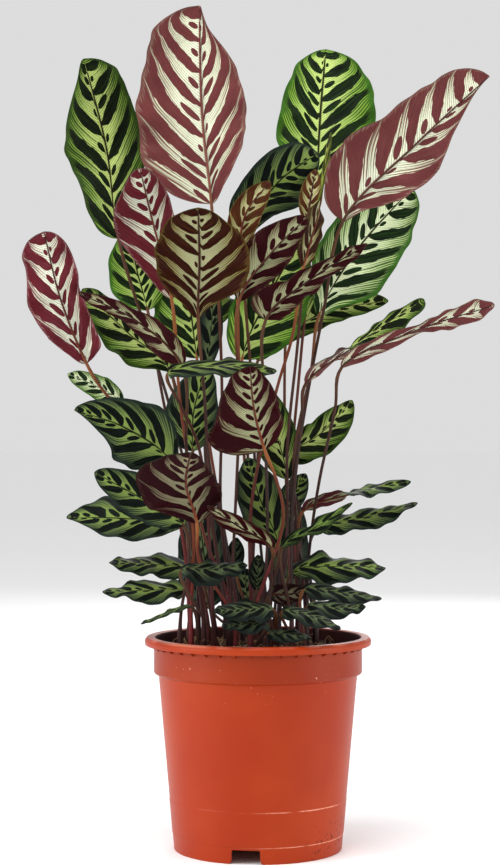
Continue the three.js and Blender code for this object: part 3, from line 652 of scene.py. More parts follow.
@dataclass(frozen=True)
class PlasticFinish:
    """The pot's satin plastic: its colours, where it is worn pale and splashed with soil, and its painted
    shade and painted highlight.
    """

    body: Colour = paint(152, 42, 0)
    pale: Colour = paint(162, 52, 2)
    # Painted shade: the inside wall is coloured far darker than the body.
    inside: Colour = paint(60, 14, 9)
    # Pale colour of the worn lines and specks, also used for the painted highlight on the rim.
    wear_and_highlight: Colour = paint(222, 150, 124)
    dirt: Colour = paint(40, 24, 18)
    wear_heights: Pair = (0.0379, 0.0121)
    inner_taper: tuple[float, float, float] = (0.0622, 0.0890, 0.1320)
    inner_radius: float = 0.0774

    def material(self) -> Material:
        """Cloudy colour, painted shade on the collar under the lip, worn lines at two heights, a painted
        highlight on the rim and worn specks.

        Soil splashes lie low on the right, and the inside of the shell is painted dark as shade and stained
        with soil.
        """
        tree = Tree("pot_plastic")
        place = tree.place()
        x, y, z = tree.parts(place)
        cloud = tree.noise(place, 14.0, 3.0)
        fine = tree.noise(place, 260.0, 3.0)
        grain = tree.noise(place, 1400.0, 2.0)
        colour = tree.blend(cloud.rise(0.35, 0.75), self.body, self.pale)

        wear = None
        for height in self.wear_heights:
            line = 1.0 - abs(z - height + (fine - 0.5) * 0.0006).rise(0.0001, 0.0006)
            wear = line if wear is None else wear.over(line)
        patchy = tree.noise(place, 70.0, 2.0).rise(0.3, 0.5) * x.rise(-0.02, 0.03)
        wear = wear * patchy * fine.rise(0.25, 0.5)
        speck_noise = tree.noise(place, 420.0, 1.0)
        speck_patch = tree.noise(place, 38.0, 1.0).rise(0.46, 0.6) * z.rise(0.105, 0.125)
        speck = speck_noise.rise(0.73, 0.77) * speck_patch
        # Painted shade: the collar is darkened under the lip.
        colour = tree.shaded(colour, 1.0 - z.rise(0.1302, 0.1318) * (1.0 - z.rise(0.152, 0.154)) * 0.2)
        # Painted highlight: pale patches along the top edge of the rim.
        painted_rim_highlight = z.rise(0.1568, 0.1586) * tree.noise(place, 34.0, 3.0).rise(0.42, 0.62) * 0.5
        colour = tree.blend(wear.over(speck).over(painted_rim_highlight) * 0.85, colour, self.wear_and_highlight)

        low_right = x.rise(0.028, 0.055) * (1.0 - z.rise(0.012, 0.034)) * (1.0 - y.rise(-0.03, 0.01))
        splash = tree.noise(place, 330.0, 2.0).rise(0.62, 0.66) * low_right
        colour = tree.blend(splash * 0.9, colour, self.dirt)

        start, slope, collar = self.inner_taper
        collared = z.rise(collar - 0.0002, collar + 0.0002)
        middle_of_wall = tree.between(collared, start + z * slope, self.inner_radius)
        radius = (x * x + y * y) ** 0.5
        hidden = (1.0 - (radius - middle_of_wall).rise(-0.0003, 0.0003)) * z.rise(0.0115, 0.0135)
        soiled = tree.noise(place, 55.0, 4.0).rise(0.35, 0.7)
        # The inside's painted shade, with soil stains.
        inner = tree.blend(soiled * (1.0 - z.rise(0.150, 0.1575)), self.inside, self.dirt)
        colour = tree.blend(hidden, colour, inner)
        return tree.finished(
            Base_Color=colour,
            Roughness=0.36 + cloud * 0.08 + hidden * 0.3 + splash * 0.3 + (fine - 0.5) * 0.08,
            Normal=tree.bumped(fine * 0.5 + grain * 0.25, 0.0001),
            Specular_IOR_Level=0.2,
        )


@dataclass(frozen=True)
class SoilFinish:
    """Potting mix: dark peat with browner lumps."""

    dark: Colour = paint(30, 21, 15)
    brown: Colour = paint(72, 50, 33)

    def material(self) -> Material:
        """Cloudy dark and brown, rough all over."""
        tree = Tree("potting_mix")
        place = tree.place()
        lump = tree.noise(place, 190.0, 4.0)
        grain = tree.noise(place, 900.0, 3.0)
        colour = tree.blend(lump.rise(0.45, 0.75), self.dark, self.brown)
        colour = tree.shaded(colour, 0.7 + grain * 0.6)
        return tree.finished(
            Base_Color=colour,
            Roughness=0.92 + (grain - 0.5) * 0.1,
            Normal=tree.bumped(lump + grain * 0.5, 0.0015),
        )


@dataclass(frozen=True)
class BitFinish:
    """Loose bits on the soil: bark crumbs, root fibres or white grains."""

    name: str
    first: Colour
    second: Colour
    roughness: float = 0.85

    def material(self) -> Material:
        """Two colours mixed from bit to bit by a coarse noise, with a fine grain."""
        tree = Tree(self.name)
        place = tree.place()
        grain = tree.noise(place, 700.0, 3.0)
        colour = tree.blend(tree.noise(place, 130.0, 1.0).rise(0.35, 0.65), self.first, self.second)
        colour = tree.shaded(colour, 0.75 + grain * 0.5)
        return tree.finished(
            Base_Color=colour,
            Roughness=self.roughness + (grain - 0.5) * 0.1,
            Normal=tree.bumped(grain, 0.0004),
        )


class Crown(Enum):
    """Where the stalks come out of the soil, in millimetres."""

    LEFT = (-45, -7)
    LEFT_FRONT = (-50, -33)
    FRONT_LEFT = (-24, -34)
    INNER_LEFT = (-13, -6)
    BACK_LEFT = (-31, 23)
    FRONT = (2, -40)
    INNER = (4, 17)
    INNER_RIGHT = (20, -13)
    RIGHT = (37, 11)
    BACK = (-10, 45)
    BACK_RIGHT = (24, 44)
    FRONT_RIGHT = (29, -43)


@dataclass(frozen=True)
class Growth:
    """Sizes that every leaf shares, in millimetres."""

    foot_circle: float = 8.4
    foot_height: float = 140.3
    soil_middle: float = 151.0
    rise: float = 26.0
    rise_share: float = 0.1
    lean_height: float = 0.55
    lean_share: float = 0.35
    low_lean: float = 0.08
    low_bend: float = 5.0
    low_base: float = 215.0
    sheath_radius: float = 2.5
    sheath_share: float = 0.4
    stalk_radius: float = 1.15
    knee_radius: float = 1.4
    rib_end_radius: float = 0.3
    collar: float = 0.2
    tip_half: float = 0.5
    thickness: float = 0.62
    edge_thickness: float = 0.26
    vein_climb: Pair = (0.28, 0.56)
    vein_bow: Pair = (0.6, 1.4)
    vein_crowding: float = 0.4
    heel_crowding: float = 0.5
    tip_crowding: float = 0.14
    wave_shift: float = 2.0
    wave_sway: float = 1.1
    pleat: float = 0.7
    ruffle: float = 0.9
    ruffle_pitch: float = 17.0
    uneven: float = 0.022
    uneven_pitch: float = 24.0
    full_length: float = 100.0
    period_length: float = 42.0
    period_limits: Pair = (4, 7)
    rows_per_mm: float = 0.55
    row_limits: tuple[int, int] = (34, 80)
    columns: int = 29
    stalk_rings: int = 34
    rib_rings: int = 30
    stalk_sides: int = 12


GROWTH = Growth()
OUTLINE_SHARES = (0, 0.1, 0.3, 0.5, 0.7, 0.9, 1)


@dataclass(frozen=True)
class Leaf:
    """One leaf. A spot is (across, height, depth), read as the function seen reads it.

    half is the half-width on the left and on the right, looking from base to tip. An outline gives the
    half-widths on the left and on the right at five places from base to tip instead. roll turns the upper
    side from facing the eye: 180 shows the underside, and base and tip may differ. A leaf with spread turns
    from facing up instead. fold lifts the halves from the midrib as a share of their width, arch bends them
    back down, and wave is the edge's height, count and start.
    """

    name: str
    crown: Crown
    via: tuple[Spot, ...]
    base: Spot
    middle: Spot
    tip: Spot
    wave: tuple[float, int, float]
    tint: Tint
    half: Pair = (0, 0)
    outline: tuple[Widths, Widths] | None = None
    roll: Pair = (0, 0)
    widest: Pair = (0.45, 0.45)
    heel: Pair = (0.55, 0.55)
    point: Pair = (0.6, 0.6)
    fold: float = 0.1
    arch: float = 0.2
    spread: bool = False

    def heading(self) -> float:
        """The way that the leaf leans from its crown, in radians."""
        base = seen(self.base)
        return float(np.arctan2(base[1] - self.crown.value[1], base[0] - self.crown.value[0]))

    def line(self, foot: Array) -> Array:
        """The points of its line: up out of the soil, along the stalk, and along the midrib to the tip."""
        base = seen(self.base)
        stops = [seen(spot) for spot in self.via]
        if base[2] > GROWTH.low_base:
            bend = mixed(foot, stops[0] if stops else base, GROWTH.rise_share)
            bend[2] = GROWTH.soil_middle + GROWTH.rise
            if not stops:
                lean = mixed(foot, base, GROWTH.lean_share)
                lean[2] = mixed(foot[2], base[2], GROWTH.lean_height)
                stops = [lean]
        else:
            bend = mixed(foot, base, GROWTH.low_lean)
            bend[2] = GROWTH.soil_middle + GROWTH.low_bend
        return np.array([foot, bend, *stops, base, seen(self.middle), seen(self.tip)])

    def frames(self, line: Array, places: Array, roll: Array) -> tuple[Array, Array, Array]:
        """The points at places on the line, and the ways of the upper side and of the right there.

        Args:
            line: The points of the leaf's line.
            places: Where to read it, in spans.
            roll: How far each place is turned about the line, in degrees.

        Returns:
            Points, upper ways and right ways, one a row.
        """
        point, along = path(line, places)
        toward = np.broadcast_to(UP, point.shape) if self.spread else unit(EYE - point)
        facing = unit(toward - along * dots(toward, along))
        aside = np.cross(along, facing)
        turn = np.radians(roll)[:, None]
        upper = facing * np.cos(turn) + aside * np.sin(turn)
        return point, upper, aside * np.cos(turn) - facing * np.sin(turn)

    def breadth(self, t: Array) -> Array:
        """The share of the full width, and the half-width, on the blade's left and right.

        Without an outline, each half is times sin(pi t^b)^p, where b puts the widest place at widest, and
        the power p goes from heel to point past it.
        """
        if self.outline:
            places = round_place(np.array(OUTLINE_SHARES))
            widths = [np.array([0, *row, 0]) for row in self.outline]
            half = np.stack([curve_through(places, row, round_place(t)) for row in widths], axis=-1)
            shape = half / [row.max() for row in widths]
        else:
            widest, heel, point = (np.array(pair) for pair in (self.widest, self.heel, self.point))
            bend = np.log(0.5) / np.log(widest)
            t = t[:, None]
            late = smoothstep((t - widest) / (1 - widest))
            shape = np.sin(np.pi * np.clip(t, 1e-6, 1 - 1e-6) ** bend) ** mixed(heel, point, late)
            half = shape * np.array(self.half)
        sides = np.stack([shape, half])
        flipped = np.cos(np.radians(np.mean(self.roll))) < 0
        return sides[:, :, ::-1] if flipped else sides

    def veins(self, t: Array, across: Array, climb: float) -> Array:
        """The place on the midrib that a lateral vein comes from, where t and across say the vein is.

        A vein from c passes t = c + (1 - c)(p + q c) g, where p and q are the vein's bow, and g grows from
        nothing at the midrib to climb at the edge, a little faster as it goes.
        """
        p, q = GROWTH.vein_bow
        g = (0.72 * across + 0.28 * across**2) * climb
        rest = t - p * g
        whole = 1 + (q - p) * g
        return 2 * rest / (whole + np.sqrt(np.maximum(whole**2 - 4 * q * g * rest, 0)))

    def length(self) -> float:
        """From the blade's base to its tip, in millimetres."""
        return float(np.linalg.norm(seen(self.tip) - seen(self.base)))

    def blade(self, line: Array, number: int) -> Skin:
        """The blade: rows across the midrib, folded, arched, waved at the edge and pleated along its veins.

        Args:
            line: The points of the leaf's line.
            number: The leaf's place in the table, which its chances follow.

        Returns:
            The closed skin of both faces, with finish 0 above and 1 below.
        """
        rows = int(np.clip(self.length() * GROWTH.rows_per_mm, *GROWTH.row_limits))
        even = np.linspace(0, 1, rows)
        t = 0.45 * even + 0.55 * (1 - np.cos(np.pi * even)) / 2
        s = np.linspace(-1, 1, GROWTH.columns)
        across = np.abs(s)
        side = (s >= 0).astype(int)
        roll = mixed(self.roll[0], self.roll[1], smoothstep(t))
        point, upper, right = self.frames(line, len(line) - 3 + 2 * t, roll)
        shape, half = self.breadth(t)[:, :, side]
        least = mixed(GROWTH.stalk_radius + GROWTH.collar, GROWTH.tip_half, t)[:, None]
        uneven = waves(t * self.length() + 300 * number, t * 0, GROWTH.uneven_pitch, 7)
        half = half * (1 + GROWTH.uneven * np.stack([uneven, np.roll(uneven, rows // 3)], axis=-1)[:, side])
        half = np.maximum(half, least)

        broad = 2 * float(half.mean()) / self.length()
        periods = 1.5 + self.length() / GROWTH.period_length + 3.5 * broad
        first = np.random.default_rng(number).uniform(0, 1) + np.where(side == 0, 0, 0.5)
        last = np.round(first + np.clip(periods, *GROWTH.period_limits))
        start_place = self.veins(t[:, None], across, float(np.clip(1.6 * broad, *GROWTH.vein_climb)))
        crowd = GROWTH.vein_crowding
        heel = GROWTH.heel_crowding * crowd * np.minimum(start_place, 0)
        spaced = np.log1p(crowd * np.maximum(start_place, 0)) + heel
        near_tip = np.clip(start_place, 0, 1) ** 6
        spaced = mixed(spaced / np.log1p(crowd), near_tip, GROWTH.tip_crowding)
        phase = first + spaced * (last - first)
        height, count, begin = self.wave
        turns = 2 * np.pi * count * t[:, None] + begin + GROWTH.wave_shift * (s > 0)
        sway = GROWTH.wave_sway * np.sin(2 * np.pi * t[:, None] + turns / count)
        ripple = height * shape * np.sin(turns + sway)
        size = min(self.length() / GROWTH.full_length, 1.0)
        ruffle = waves(t * self.length() + 400 * number, t * 0, GROWTH.ruffle_pitch, 11)[:, None]
        ruffle = GROWTH.ruffle * size * ruffle * shape * across**3 * np.where(s > 0, 1, -1)
        pleat = GROWTH.pleat * size * shape * np.cos(2 * np.pi * phase) * np.sin(np.pi * across)
        lift = half * (self.fold * across - self.arch * s**2) + ripple * s**2 + ruffle + pleat
        centre = point[:, None] + right[:, None] * (s * half)[..., None] + upper[:, None] * lift[..., None]

        thick = mixed(GROWTH.thickness, GROWTH.edge_thickness, across**6) / 2
        lean = unit(np.gradient(centre, axis=1))
        way = unit(np.gradient(centre, axis=0))
        normal = unit(np.cross(lean, way))
        top = centre + normal * thick[:, None]
        bottom = centre - normal * thick[:, None]
        ring = np.concatenate([top, bottom[:, ::-1]], axis=1)

        last = GROWTH.columns - 1
        toward_edge = mixed(across, 1, smoothstep(t, 0.92, 1.02)[:, None])
        marks = np.stack([phase + 24.0 * number, toward_edge], axis=-1)
        marks = np.concatenate([marks, marks[:, ::-1]], axis=1)
        finish = np.concatenate([np.zeros(last + 1), np.ones(last), np.zeros(1)]).astype(int)
        skin = Skin.wrapped(ring, marks, finish)
        corners = skin.uv[: (rows - 1) * ring.shape[1]].reshape(rows - 1, ring.shape[1], 4, 2)
        middle = last // 2
        corners[:, middle - 1, [1, 2], 0] -= 0.5
        corners[:, GROWTH.columns + middle, [[0], [3]], 0] -= 0.5
        return skin

    def stalk(self, line: Array, number: int) -> Skin:
        """The stalk and, under the blade, its midrib: round rings that thin from the sheath to the tip.

        Args:
            line: The points of the leaf's line.
            number: The leaf's place in the table, kept in the map's first number.

        Returns:
            The closed skin, with finish 2.
        """
        share = np.linspace(0, 1, GROWTH.stalk_rings)
        t = np.linspace(0, 1, GROWTH.rib_rings + 1)[1:] * 0.985
        spans = len(line) - 3
        places = np.concatenate([share * spans, spans + 2 * t])
        reach = np.concatenate([share, 1 + t])
        held = np.full(len(share), self.roll[0])
        roll = np.concatenate([held, mixed(self.roll[0], self.roll[1], smoothstep(t))])
        point, upper, right = self.frames(line, places, roll.astype(float))

        thin = mixed(GROWTH.sheath_radius, GROWTH.stalk_radius, smoothstep(share, 0, GROWTH.sheath_share))
        knee = (GROWTH.knee_radius - GROWTH.stalk_radius) * np.exp(-(((share - 0.94) / 0.035) ** 2))
        rib = mixed(GROWTH.stalk_radius, GROWTH.rib_end_radius, t**0.7)
        radius = np.concatenate([thin + knee, rib])
        below = smoothstep(reach, 0.99, 1.06) * (GROWTH.thickness / 2 + radius * 0.45)
        angle = np.pi - 2 * np.pi * np.arange(GROWTH.stalk_sides) / GROWTH.stalk_sides
        grid = (point - upper * below[:, None])[:, None] + spokes(angle, right, upper) * radius[:, None, None]
        grid[0, :, 2] = point[0, 2]
        around = number + np.abs(np.linspace(-1, 1, GROWTH.stalk_sides, endpoint=False)) * 0.98 + 0.01
        marks = np.stack(np.broadcast_arrays(around, reach[:, None]), axis=-1)
        return Skin.wrapped(grid, marks, 2)

    def skin(self, foot: Array, number: int) -> Skin:
        """The whole leaf, from its foot in the soil to its tip."""
        line = self.line(foot)
        return Skin.joined([self.blade(line, number), self.stalk(line, number)])


LEAVES = (
    Leaf("top_leaf_1", Crown.INNER_LEFT, via=((-28, 253, 0), (-27, 336, 5), (-29, 400, 8)),
         base=(-35, 484, 10), middle=(-42, 554, 21), tip=(-44, 633, 20),
         outline=((36, 50, 49, 43, 33), (12, 29, 33, 27, 6)), roll=(180, 180), arch=0.25, wave=(3, 3, 0),
         tint=Tint.ROSE),
    Leaf("top_leaf_2", Crown.LEFT, via=((-46, 240, 16), (-66, 330, 32), (-82, 382, 42)),
         base=(-105, 458, 40), middle=(-114, 526, 52), tip=(-131, 593, 48),
         outline=((17, 24, 32, 25, 9), (12, 24, 29, 28, 23)), wave=(3, 2, 1), tint=Tint.LIME),
    Leaf("top_leaf_3", Crown.RIGHT, via=((25, 253, 16), (34, 321, 8), (50, 407, -8)),
         base=(64, 471, -20), middle=(119, 529, -50), tip=(174, 580, -80),
         outline=((28, 37, 30, 26, 20), (8, 23, 25, 12, 2)), roll=(180, 180), arch=0.25, wave=(3, 4, 2),
         tint=Tint.ROSE),
    Leaf("top_leaf_4", Crown.BACK_RIGHT, via=((25, 276, 56), (31, 355, 64), (38, 430, 72)),
         base=(44, 500, 80), middle=(47, 554, 94), tip=(51, 600, 112),
         outline=((20, 33, 31, 27, 19), (22, 40, 45, 41, 28)), wave=(3, 3, 0), tint=Tint.FRESH),
    Leaf("top_leaf_5", Crown.INNER, via=((0, 250, 38), (-5, 350, 40)),
         base=(-8, 460, 44), middle=(14, 499, 48), tip=(45, 522, 52),
         outline=((19, 22, 22, 22, 15), (7, 16, 26, 25, 12)), roll=(8, 8), fold=0.05, wave=(2, 2, 0),
         tint=Tint.MOSS),
    Leaf("top_leaf_6", Crown.RIGHT, via=((27, 291, 20), (40, 359, 30)),
         base=(46, 400, 36), middle=(75, 450, 59), tip=(116, 496, 82),
         outline=((10, 24, 28, 26, 15), (12, 32, 33, 29, 18)), fold=0.2, wave=(3, 3, 1), tint=Tint.CREAM),
    Leaf("top_leaf_7", Crown.INNER_LEFT, via=((-14, 330, 0),),
         base=(-14, 411, -6), middle=(10, 447, -18), tip=(37, 474, -30),
         outline=((9, 18, 19, 15, 8), (8, 14, 15, 12, 6)), roll=(180, 180), wave=(2, 3, 0), tint=Tint.WINE),
    Leaf("top_leaf_8", Crown.FRONT, via=((7, 227, -34), (5, 336, -30)),
         base=(6, 397, -30), middle=(39, 427, -47), tip=(82, 454, -68),
         outline=((20, 13, 11, 9, 6), (10, 11, 10, 9, 5)), roll=(200, 225), wave=(3, 3, 2), tint=Tint.WINE),
    Leaf("top_leaf_9", Crown.FRONT_LEFT, via=((-35, 246, -30), (-40, 336, -32)),
         base=(-45, 398, -34), middle=(-44, 441, -56), tip=(-45, 481, -86),
         outline=((10, 27, 32, 31, 23), (9, 32, 37, 33, 19)), roll=(180, 180), arch=0.25, wave=(2, 3, 1),
         tint=Tint.BACKLIT),
    Leaf("top_leaf_10", Crown.INNER_LEFT, via=((-42, 240, -4), (-58, 330, -6)),
         base=(-65, 413, -8), middle=(-79, 470, -19), tip=(-89, 511, -42),
         outline=((11, 21, 28, 25, 13), (9, 16, 17, 16, 11)), roll=(180, 180), wave=(2, 2, 0),
         tint=Tint.PINK),
    Leaf("top_leaf_11", Crown.INNER, via=((-8, 260, 27), (-14, 350, 20)),
         base=(-14, 448, 20), middle=(-9, 477, 18), tip=(9, 501, 20),
         half=(12, 12), roll=(180, 180), wave=(1, 2, 0), tint=Tint.OLIVE),
    Leaf("top_leaf_12", Crown.INNER_LEFT, via=((-5, 257, -10), (14, 344, 2), (26, 385, 10)),
         base=(34, 437, 14), middle=(45, 478, 16), tip=(55, 538, 18),
         half=(20, 20), roll=(235, 285), arch=0.1, wave=(1, 2, 0), tint=Tint.BACKLIT),
    Leaf("top_leaf_13", Crown.INNER_RIGHT, via=((22, 240, -2), (22, 300, 14), (30, 380, 24), (34, 430, 35)),
         base=(37, 470, 43), middle=(40, 490, 47), tip=(43, 510, 52),
         half=(9, 9), roll=(180, 180), arch=0.1, wave=(1, 2, 0), tint=Tint.OLIVE),
    Leaf("left_leaf_1", Crown.LEFT, via=((-58, 240, -20), (-76, 283, -16), (-98, 321, -4), (-119, 347, 0)),
         base=(-129, 364, -6), middle=(-149, 414, -27), tip=(-161, 463, -39),
         outline=((8, 19, 24, 20, 18), (15, 17, 16, 17, 13)), roll=(180, 180), wave=(3, 4, 1),
         tint=Tint.PINK),
    Leaf("left_leaf_2", Crown.LEFT, via=((-50, 230, -18), (-54, 300, -22)),
         base=(-57, 362, -24), middle=(-91, 396, -28), tip=(-135, 417, -32),
         outline=((9, 13, 9, 7, 5), (9, 13, 9, 7, 5)), roll=(148, 142), arch=0.1, wave=(2, 3, 0),
         tint=Tint.WINE),
    Leaf("left_leaf_3", Crown.BACK_LEFT, via=((-60, 290, 20),),
         base=(-66, 358, 22), middle=(-98, 387, 24), tip=(-132, 420, 27),
         outline=((9, 19, 20, 17, 10), (8, 16, 18, 15, 9)), roll=(25, 25), wave=(3, 3, 1), tint=Tint.LIME),
    Leaf("left_leaf_4", Crown.BACK_LEFT, via=((-70, 330, 54),),
         base=(-83, 404, 70), middle=(-91, 434, 76), tip=(-97, 466, 84),
         half=(23, 22), wave=(2, 2, 1), tint=Tint.FRESH),
    Leaf("left_leaf_5", Crown.BACK, via=((-36, 300, 56),),
         base=(-46, 368, 60), middle=(-51, 408, 72), tip=(-56, 449, 94),
         half=(29, 25), wave=(2, 3, 1), tint=Tint.FRESH),
    Leaf("left_leaf_6", Crown.INNER_LEFT, via=((-38, 300, 24),),
         base=(-38, 361, 27), middle=(-35, 391, 28), tip=(-33, 419, 28),
         half=(9, 9), wave=(1, 2, 1), tint=Tint.DEEP),
    Leaf("left_leaf_7", Crown.LEFT_FRONT, via=((-50, 250, -34),),
         base=(-65, 290, -30), middle=(-99, 315, -44), tip=(-138, 329, -61),
         outline=((15, 24, 23, 13, 3), (19, 28, 24, 18, 9)), roll=(20, 20), wave=(3, 3, 1), tint=Tint.MOSS),
    Leaf("left_leaf_8", Crown.BACK_LEFT, via=((-58, 260, 26),),
         base=(-102, 334, 22), middle=(-122, 347, 27), tip=(-143, 356, 33),
         half=(9, 10), roll=(15, 15), wave=(1.5, 2, 1), tint=Tint.CREAM),
    Leaf("left_leaf_9", Crown.LEFT_FRONT, via=((-52, 216, -34),),
         base=(-56, 242, -34), middle=(-89, 263, -48), tip=(-123, 282, -63),
         half=(16, 18), roll=(25, 25), wave=(2, 3, 1), tint=Tint.MOSS),
    Leaf("left_leaf_10", Crown.LEFT, via=((-52, 220, 4),),
         base=(-56, 241, 8), middle=(-100, 247, 6), tip=(-144, 248, 4),
         outline=((8, 15, 19, 13, 4), (11, 20, 24, 22, 9)), roll=(35, 35), wave=(3, 2, 1), tint=Tint.MOSS),
    Leaf("left_leaf_11", Crown.BACK_LEFT, via=((-44, 250, 16),),
         base=(-49, 298, 12), middle=(-48, 329, 15), tip=(-38, 362, 20),
         half=(21, 18), wave=(2, 2, 1), tint=Tint.MOSS),
    Leaf("left_leaf_12", Crown.FRONT_LEFT, via=((-44, 215, -46),),
         base=(-46, 244, -58), middle=(-54, 272, -88), tip=(-51, 297, -124),
         outline=((9, 24, 35, 33, 17), (13, 23, 22, 20, 12)), roll=(180, 180), wave=(2, 3, 1),
         tint=Tint.DUSK),
    Leaf("middle_leaf_1", Crown.INNER, via=((-8, 300, 40),),
         base=(-12, 367, 46), middle=(6, 411, 56), tip=(32, 457, 70),
         half=(23, 34), wave=(2, 3, 1), tint=Tint.FRESH),
    Leaf("middle_leaf_2", Crown.BACK, via=((0, 300, 66),),
         base=(0, 366, 78), middle=(48, 401, 89), tip=(98, 411, 99),
         half=(22, 11), roll=(-20, -20), wave=(2, 3, 1), tint=Tint.LIME),
    Leaf("middle_leaf_3", Crown.FRONT_LEFT, via=((-44, 299, -40), (-58, 332, -42)),
         base=(-68, 356, -46), middle=(-30, 362, -52), tip=(14, 358, -54),
         outline=((14, 18, 19, 18, 14), (14, 18, 19, 18, 14)), roll=(-72, -72), fold=0.05, arch=0.1,
         wave=(1, 2, 0), tint=Tint.MOSS),
    Leaf("middle_leaf_4", Crown.FRONT, via=((19, 246, -46), (14, 276, -54)),
         base=(5, 299, -62), middle=(-3, 330, -78), tip=(-6, 362, -93),
         outline=((26, 37, 28, 21, 14), (12, 18, 18, 16, 9)), roll=(180, 180), wave=(2, 3, 1),
         tint=Tint.WINE),
    Leaf("middle_leaf_5", Crown.INNER, via=((18, 225, 24),),
         base=(22, 277, 24), middle=(13, 314, 31), tip=(4, 347, 37),
         half=(18, 15), wave=(2, 3, 1), tint=Tint.LIME),
    Leaf("middle_leaf_6", Crown.INNER, via=((12, 200, 10),),
         base=(16, 225, 8), middle=(2, 261, 13), tip=(-8, 293, 19),
         half=(18, 18), wave=(2, 3, 1), tint=Tint.MOSS),
    Leaf("middle_leaf_7", Crown.FRONT, via=((10, 205, -52),),
         base=(10, 226, -62), middle=(-13, 241, -72), tip=(-38, 257, -82),
         half=(14, 14), roll=(118, 118), arch=0.1, wave=(1, 2, 1), tint=Tint.WINE),
    Leaf("right_leaf_1", Crown.INNER_RIGHT, via=((26, 253, -14), (33, 321, -14)),
         base=(36, 349, -16), middle=(75, 379, -18), tip=(125, 412, -22),
         half=(11, 19), roll=(-117, -45), point=(0.4, 0.4), arch=0.1, wave=(1, 2, 1), tint=Tint.ROSE),
    Leaf("right_leaf_2", Crown.RIGHT, via=((38, 216, 8), (46, 275, -26), (58, 330, -32)),
         base=(63, 361, -34), middle=(119, 389, -38), tip=(178, 408, -42),
         outline=((8, 8, 5, 9, 9), (7, 8, 5, 9, 8)), roll=(-138, -140), arch=0.1, wave=(2, 2, 1),
         tint=Tint.ROSE),
    Leaf("right_leaf_3", Crown.RIGHT, via=((31, 255, 34),),
         base=(19, 290, 38), middle=(48, 312, 43), tip=(71, 336, 55),
         half=(12, 17), roll=(-15, -15), wave=(3, 3, 1), tint=Tint.LIME),
    Leaf("right_leaf_4", Crown.BACK_RIGHT, via=((22, 225, 43),),
         base=(20, 251, 46), middle=(27, 266, 46), tip=(36, 281, 46),
         half=(10, 10), wave=(1, 2, 1), tint=Tint.MOSS),
    Leaf("right_leaf_5", Crown.RIGHT, via=((30, 225, 10),),
         base=(34, 253, 4), middle=(73, 267, 0), tip=(115, 275, -4),
         half=(11, 14), roll=(-128, -48), arch=0.1, wave=(1.5, 2, 1), tint=Tint.MOSS),
    Leaf("right_leaf_6", Crown.RIGHT, via=((38, 216, 14),),
         base=(44, 239, 14), middle=(80, 248, 14), tip=(120, 259, 14),
         half=(12, 13), roll=(-46, -60), wave=(3, 2, 1), tint=Tint.MOSS),
    Leaf("right_leaf_7", Crown.FRONT_RIGHT, via=(),
         base=(18, 225, -30), middle=(45, 241, -38), tip=(71, 259, -44),
         half=(12, 10), roll=(-66, -66), arch=0.1, wave=(1, 2, 1), tint=Tint.WINE),
    Leaf("right_leaf_8", Crown.INNER_RIGHT, via=(),
         base=(25, 206, -10), middle=(62, 211, -8), tip=(96, 210, -8),
         half=(17, 18), roll=(-46, -60), wave=(3, 2, 4), tint=Tint.MOSS),
    Leaf("right_leaf_9", Crown.FRONT_RIGHT, via=(),
         base=(34, 193, -34), middle=(64, 191, -38), tip=(93, 187, -42),
         half=(10, 12), roll=(-50, -60), wave=(1.5, 2, 1), tint=Tint.DEEP),
    Leaf("right_leaf_10", Crown.FRONT_RIGHT, via=(),
         base=(37, 181, -51), middle=(60, 180, -58), tip=(81, 181, -62),
         half=(10, 11), roll=(-55, -55), wave=(2, 2, 3), tint=Tint.DEEP),
    Leaf("right_leaf_11", Crown.FRONT_RIGHT, via=(),
         base=(18, 177, -62), middle=(40, 174, -75), tip=(62, 164, -85),
         half=(11, 11), roll=(-58, -58), wave=(2, 2, 1), tint=Tint.DEEP),
    Leaf("low_leaf_1", Crown.INNER_RIGHT, via=(),
         base=(8, 188, -26), middle=(22, 190, -26), tip=(37, 192, -28),
         half=(9, 10), roll=(145, 150), wave=(1, 2, 1), tint=Tint.DUSK),
    Leaf("low_leaf_2", Crown.FRONT_RIGHT, via=(),
         base=(8, 161, -59), middle=(23, 160, -69), tip=(40, 157, -77),
         half=(10, 10), roll=(-62, -62), wave=(1, 2, 1), tint=Tint.DEEP),
    Leaf("low_leaf_3", Crown.FRONT, via=(),
         base=(12, 178, -62), middle=(-10, 179, -76), tip=(-33, 177, -86),
         half=(13, 14), roll=(55, 55), wave=(2, 2, 1), tint=Tint.DEEP),
    Leaf("low_leaf_4", Crown.FRONT, via=(),
         base=(8, 168, -64), middle=(-9, 168, -78), tip=(-27, 166, -87),
         half=(11, 13), roll=(60, 60), wave=(2, 2, 4), tint=Tint.DEEP),
    Leaf("low_leaf_5", Crown.BACK_LEFT, via=(),
         base=(-47, 206, 16), middle=(-81, 213, 12), tip=(-112, 214, 6),
         half=(14, 16), roll=(50, 62), wave=(3, 2, 1), tint=Tint.MOSS),
    Leaf("low_leaf_6", Crown.FRONT_LEFT, via=(),
         base=(-58, 208, -58), middle=(-35, 209, -68), tip=(-8, 212, -76),
         half=(13, 16), roll=(-56, -56), wave=(3, 2, 3), tint=Tint.DEEP),
    Leaf("low_leaf_7", Crown.LEFT, via=(),
         base=(-54, 191, -4), middle=(-84, 193, -12), tip=(-117, 192, -20),
         half=(13, 15), roll=(52, 64), wave=(3, 2, 5), tint=Tint.MOSS),
    Leaf("low_leaf_8", Crown.LEFT_FRONT, via=(),
         base=(-50, 181, -41), middle=(-68, 176, -50), tip=(-88, 168, -60),
         half=(9, 9), roll=(78, 78), arch=0.1, wave=(1, 2, 1), tint=Tint.DUSK),
    Leaf("low_leaf_9", Crown.INNER, via=(),
         base=(-17, 207, 14), middle=(-17, 220, 14), tip=(-16, 233, 12),
         half=(7, 7), wave=(1, 2, 1), tint=Tint.DEEP),
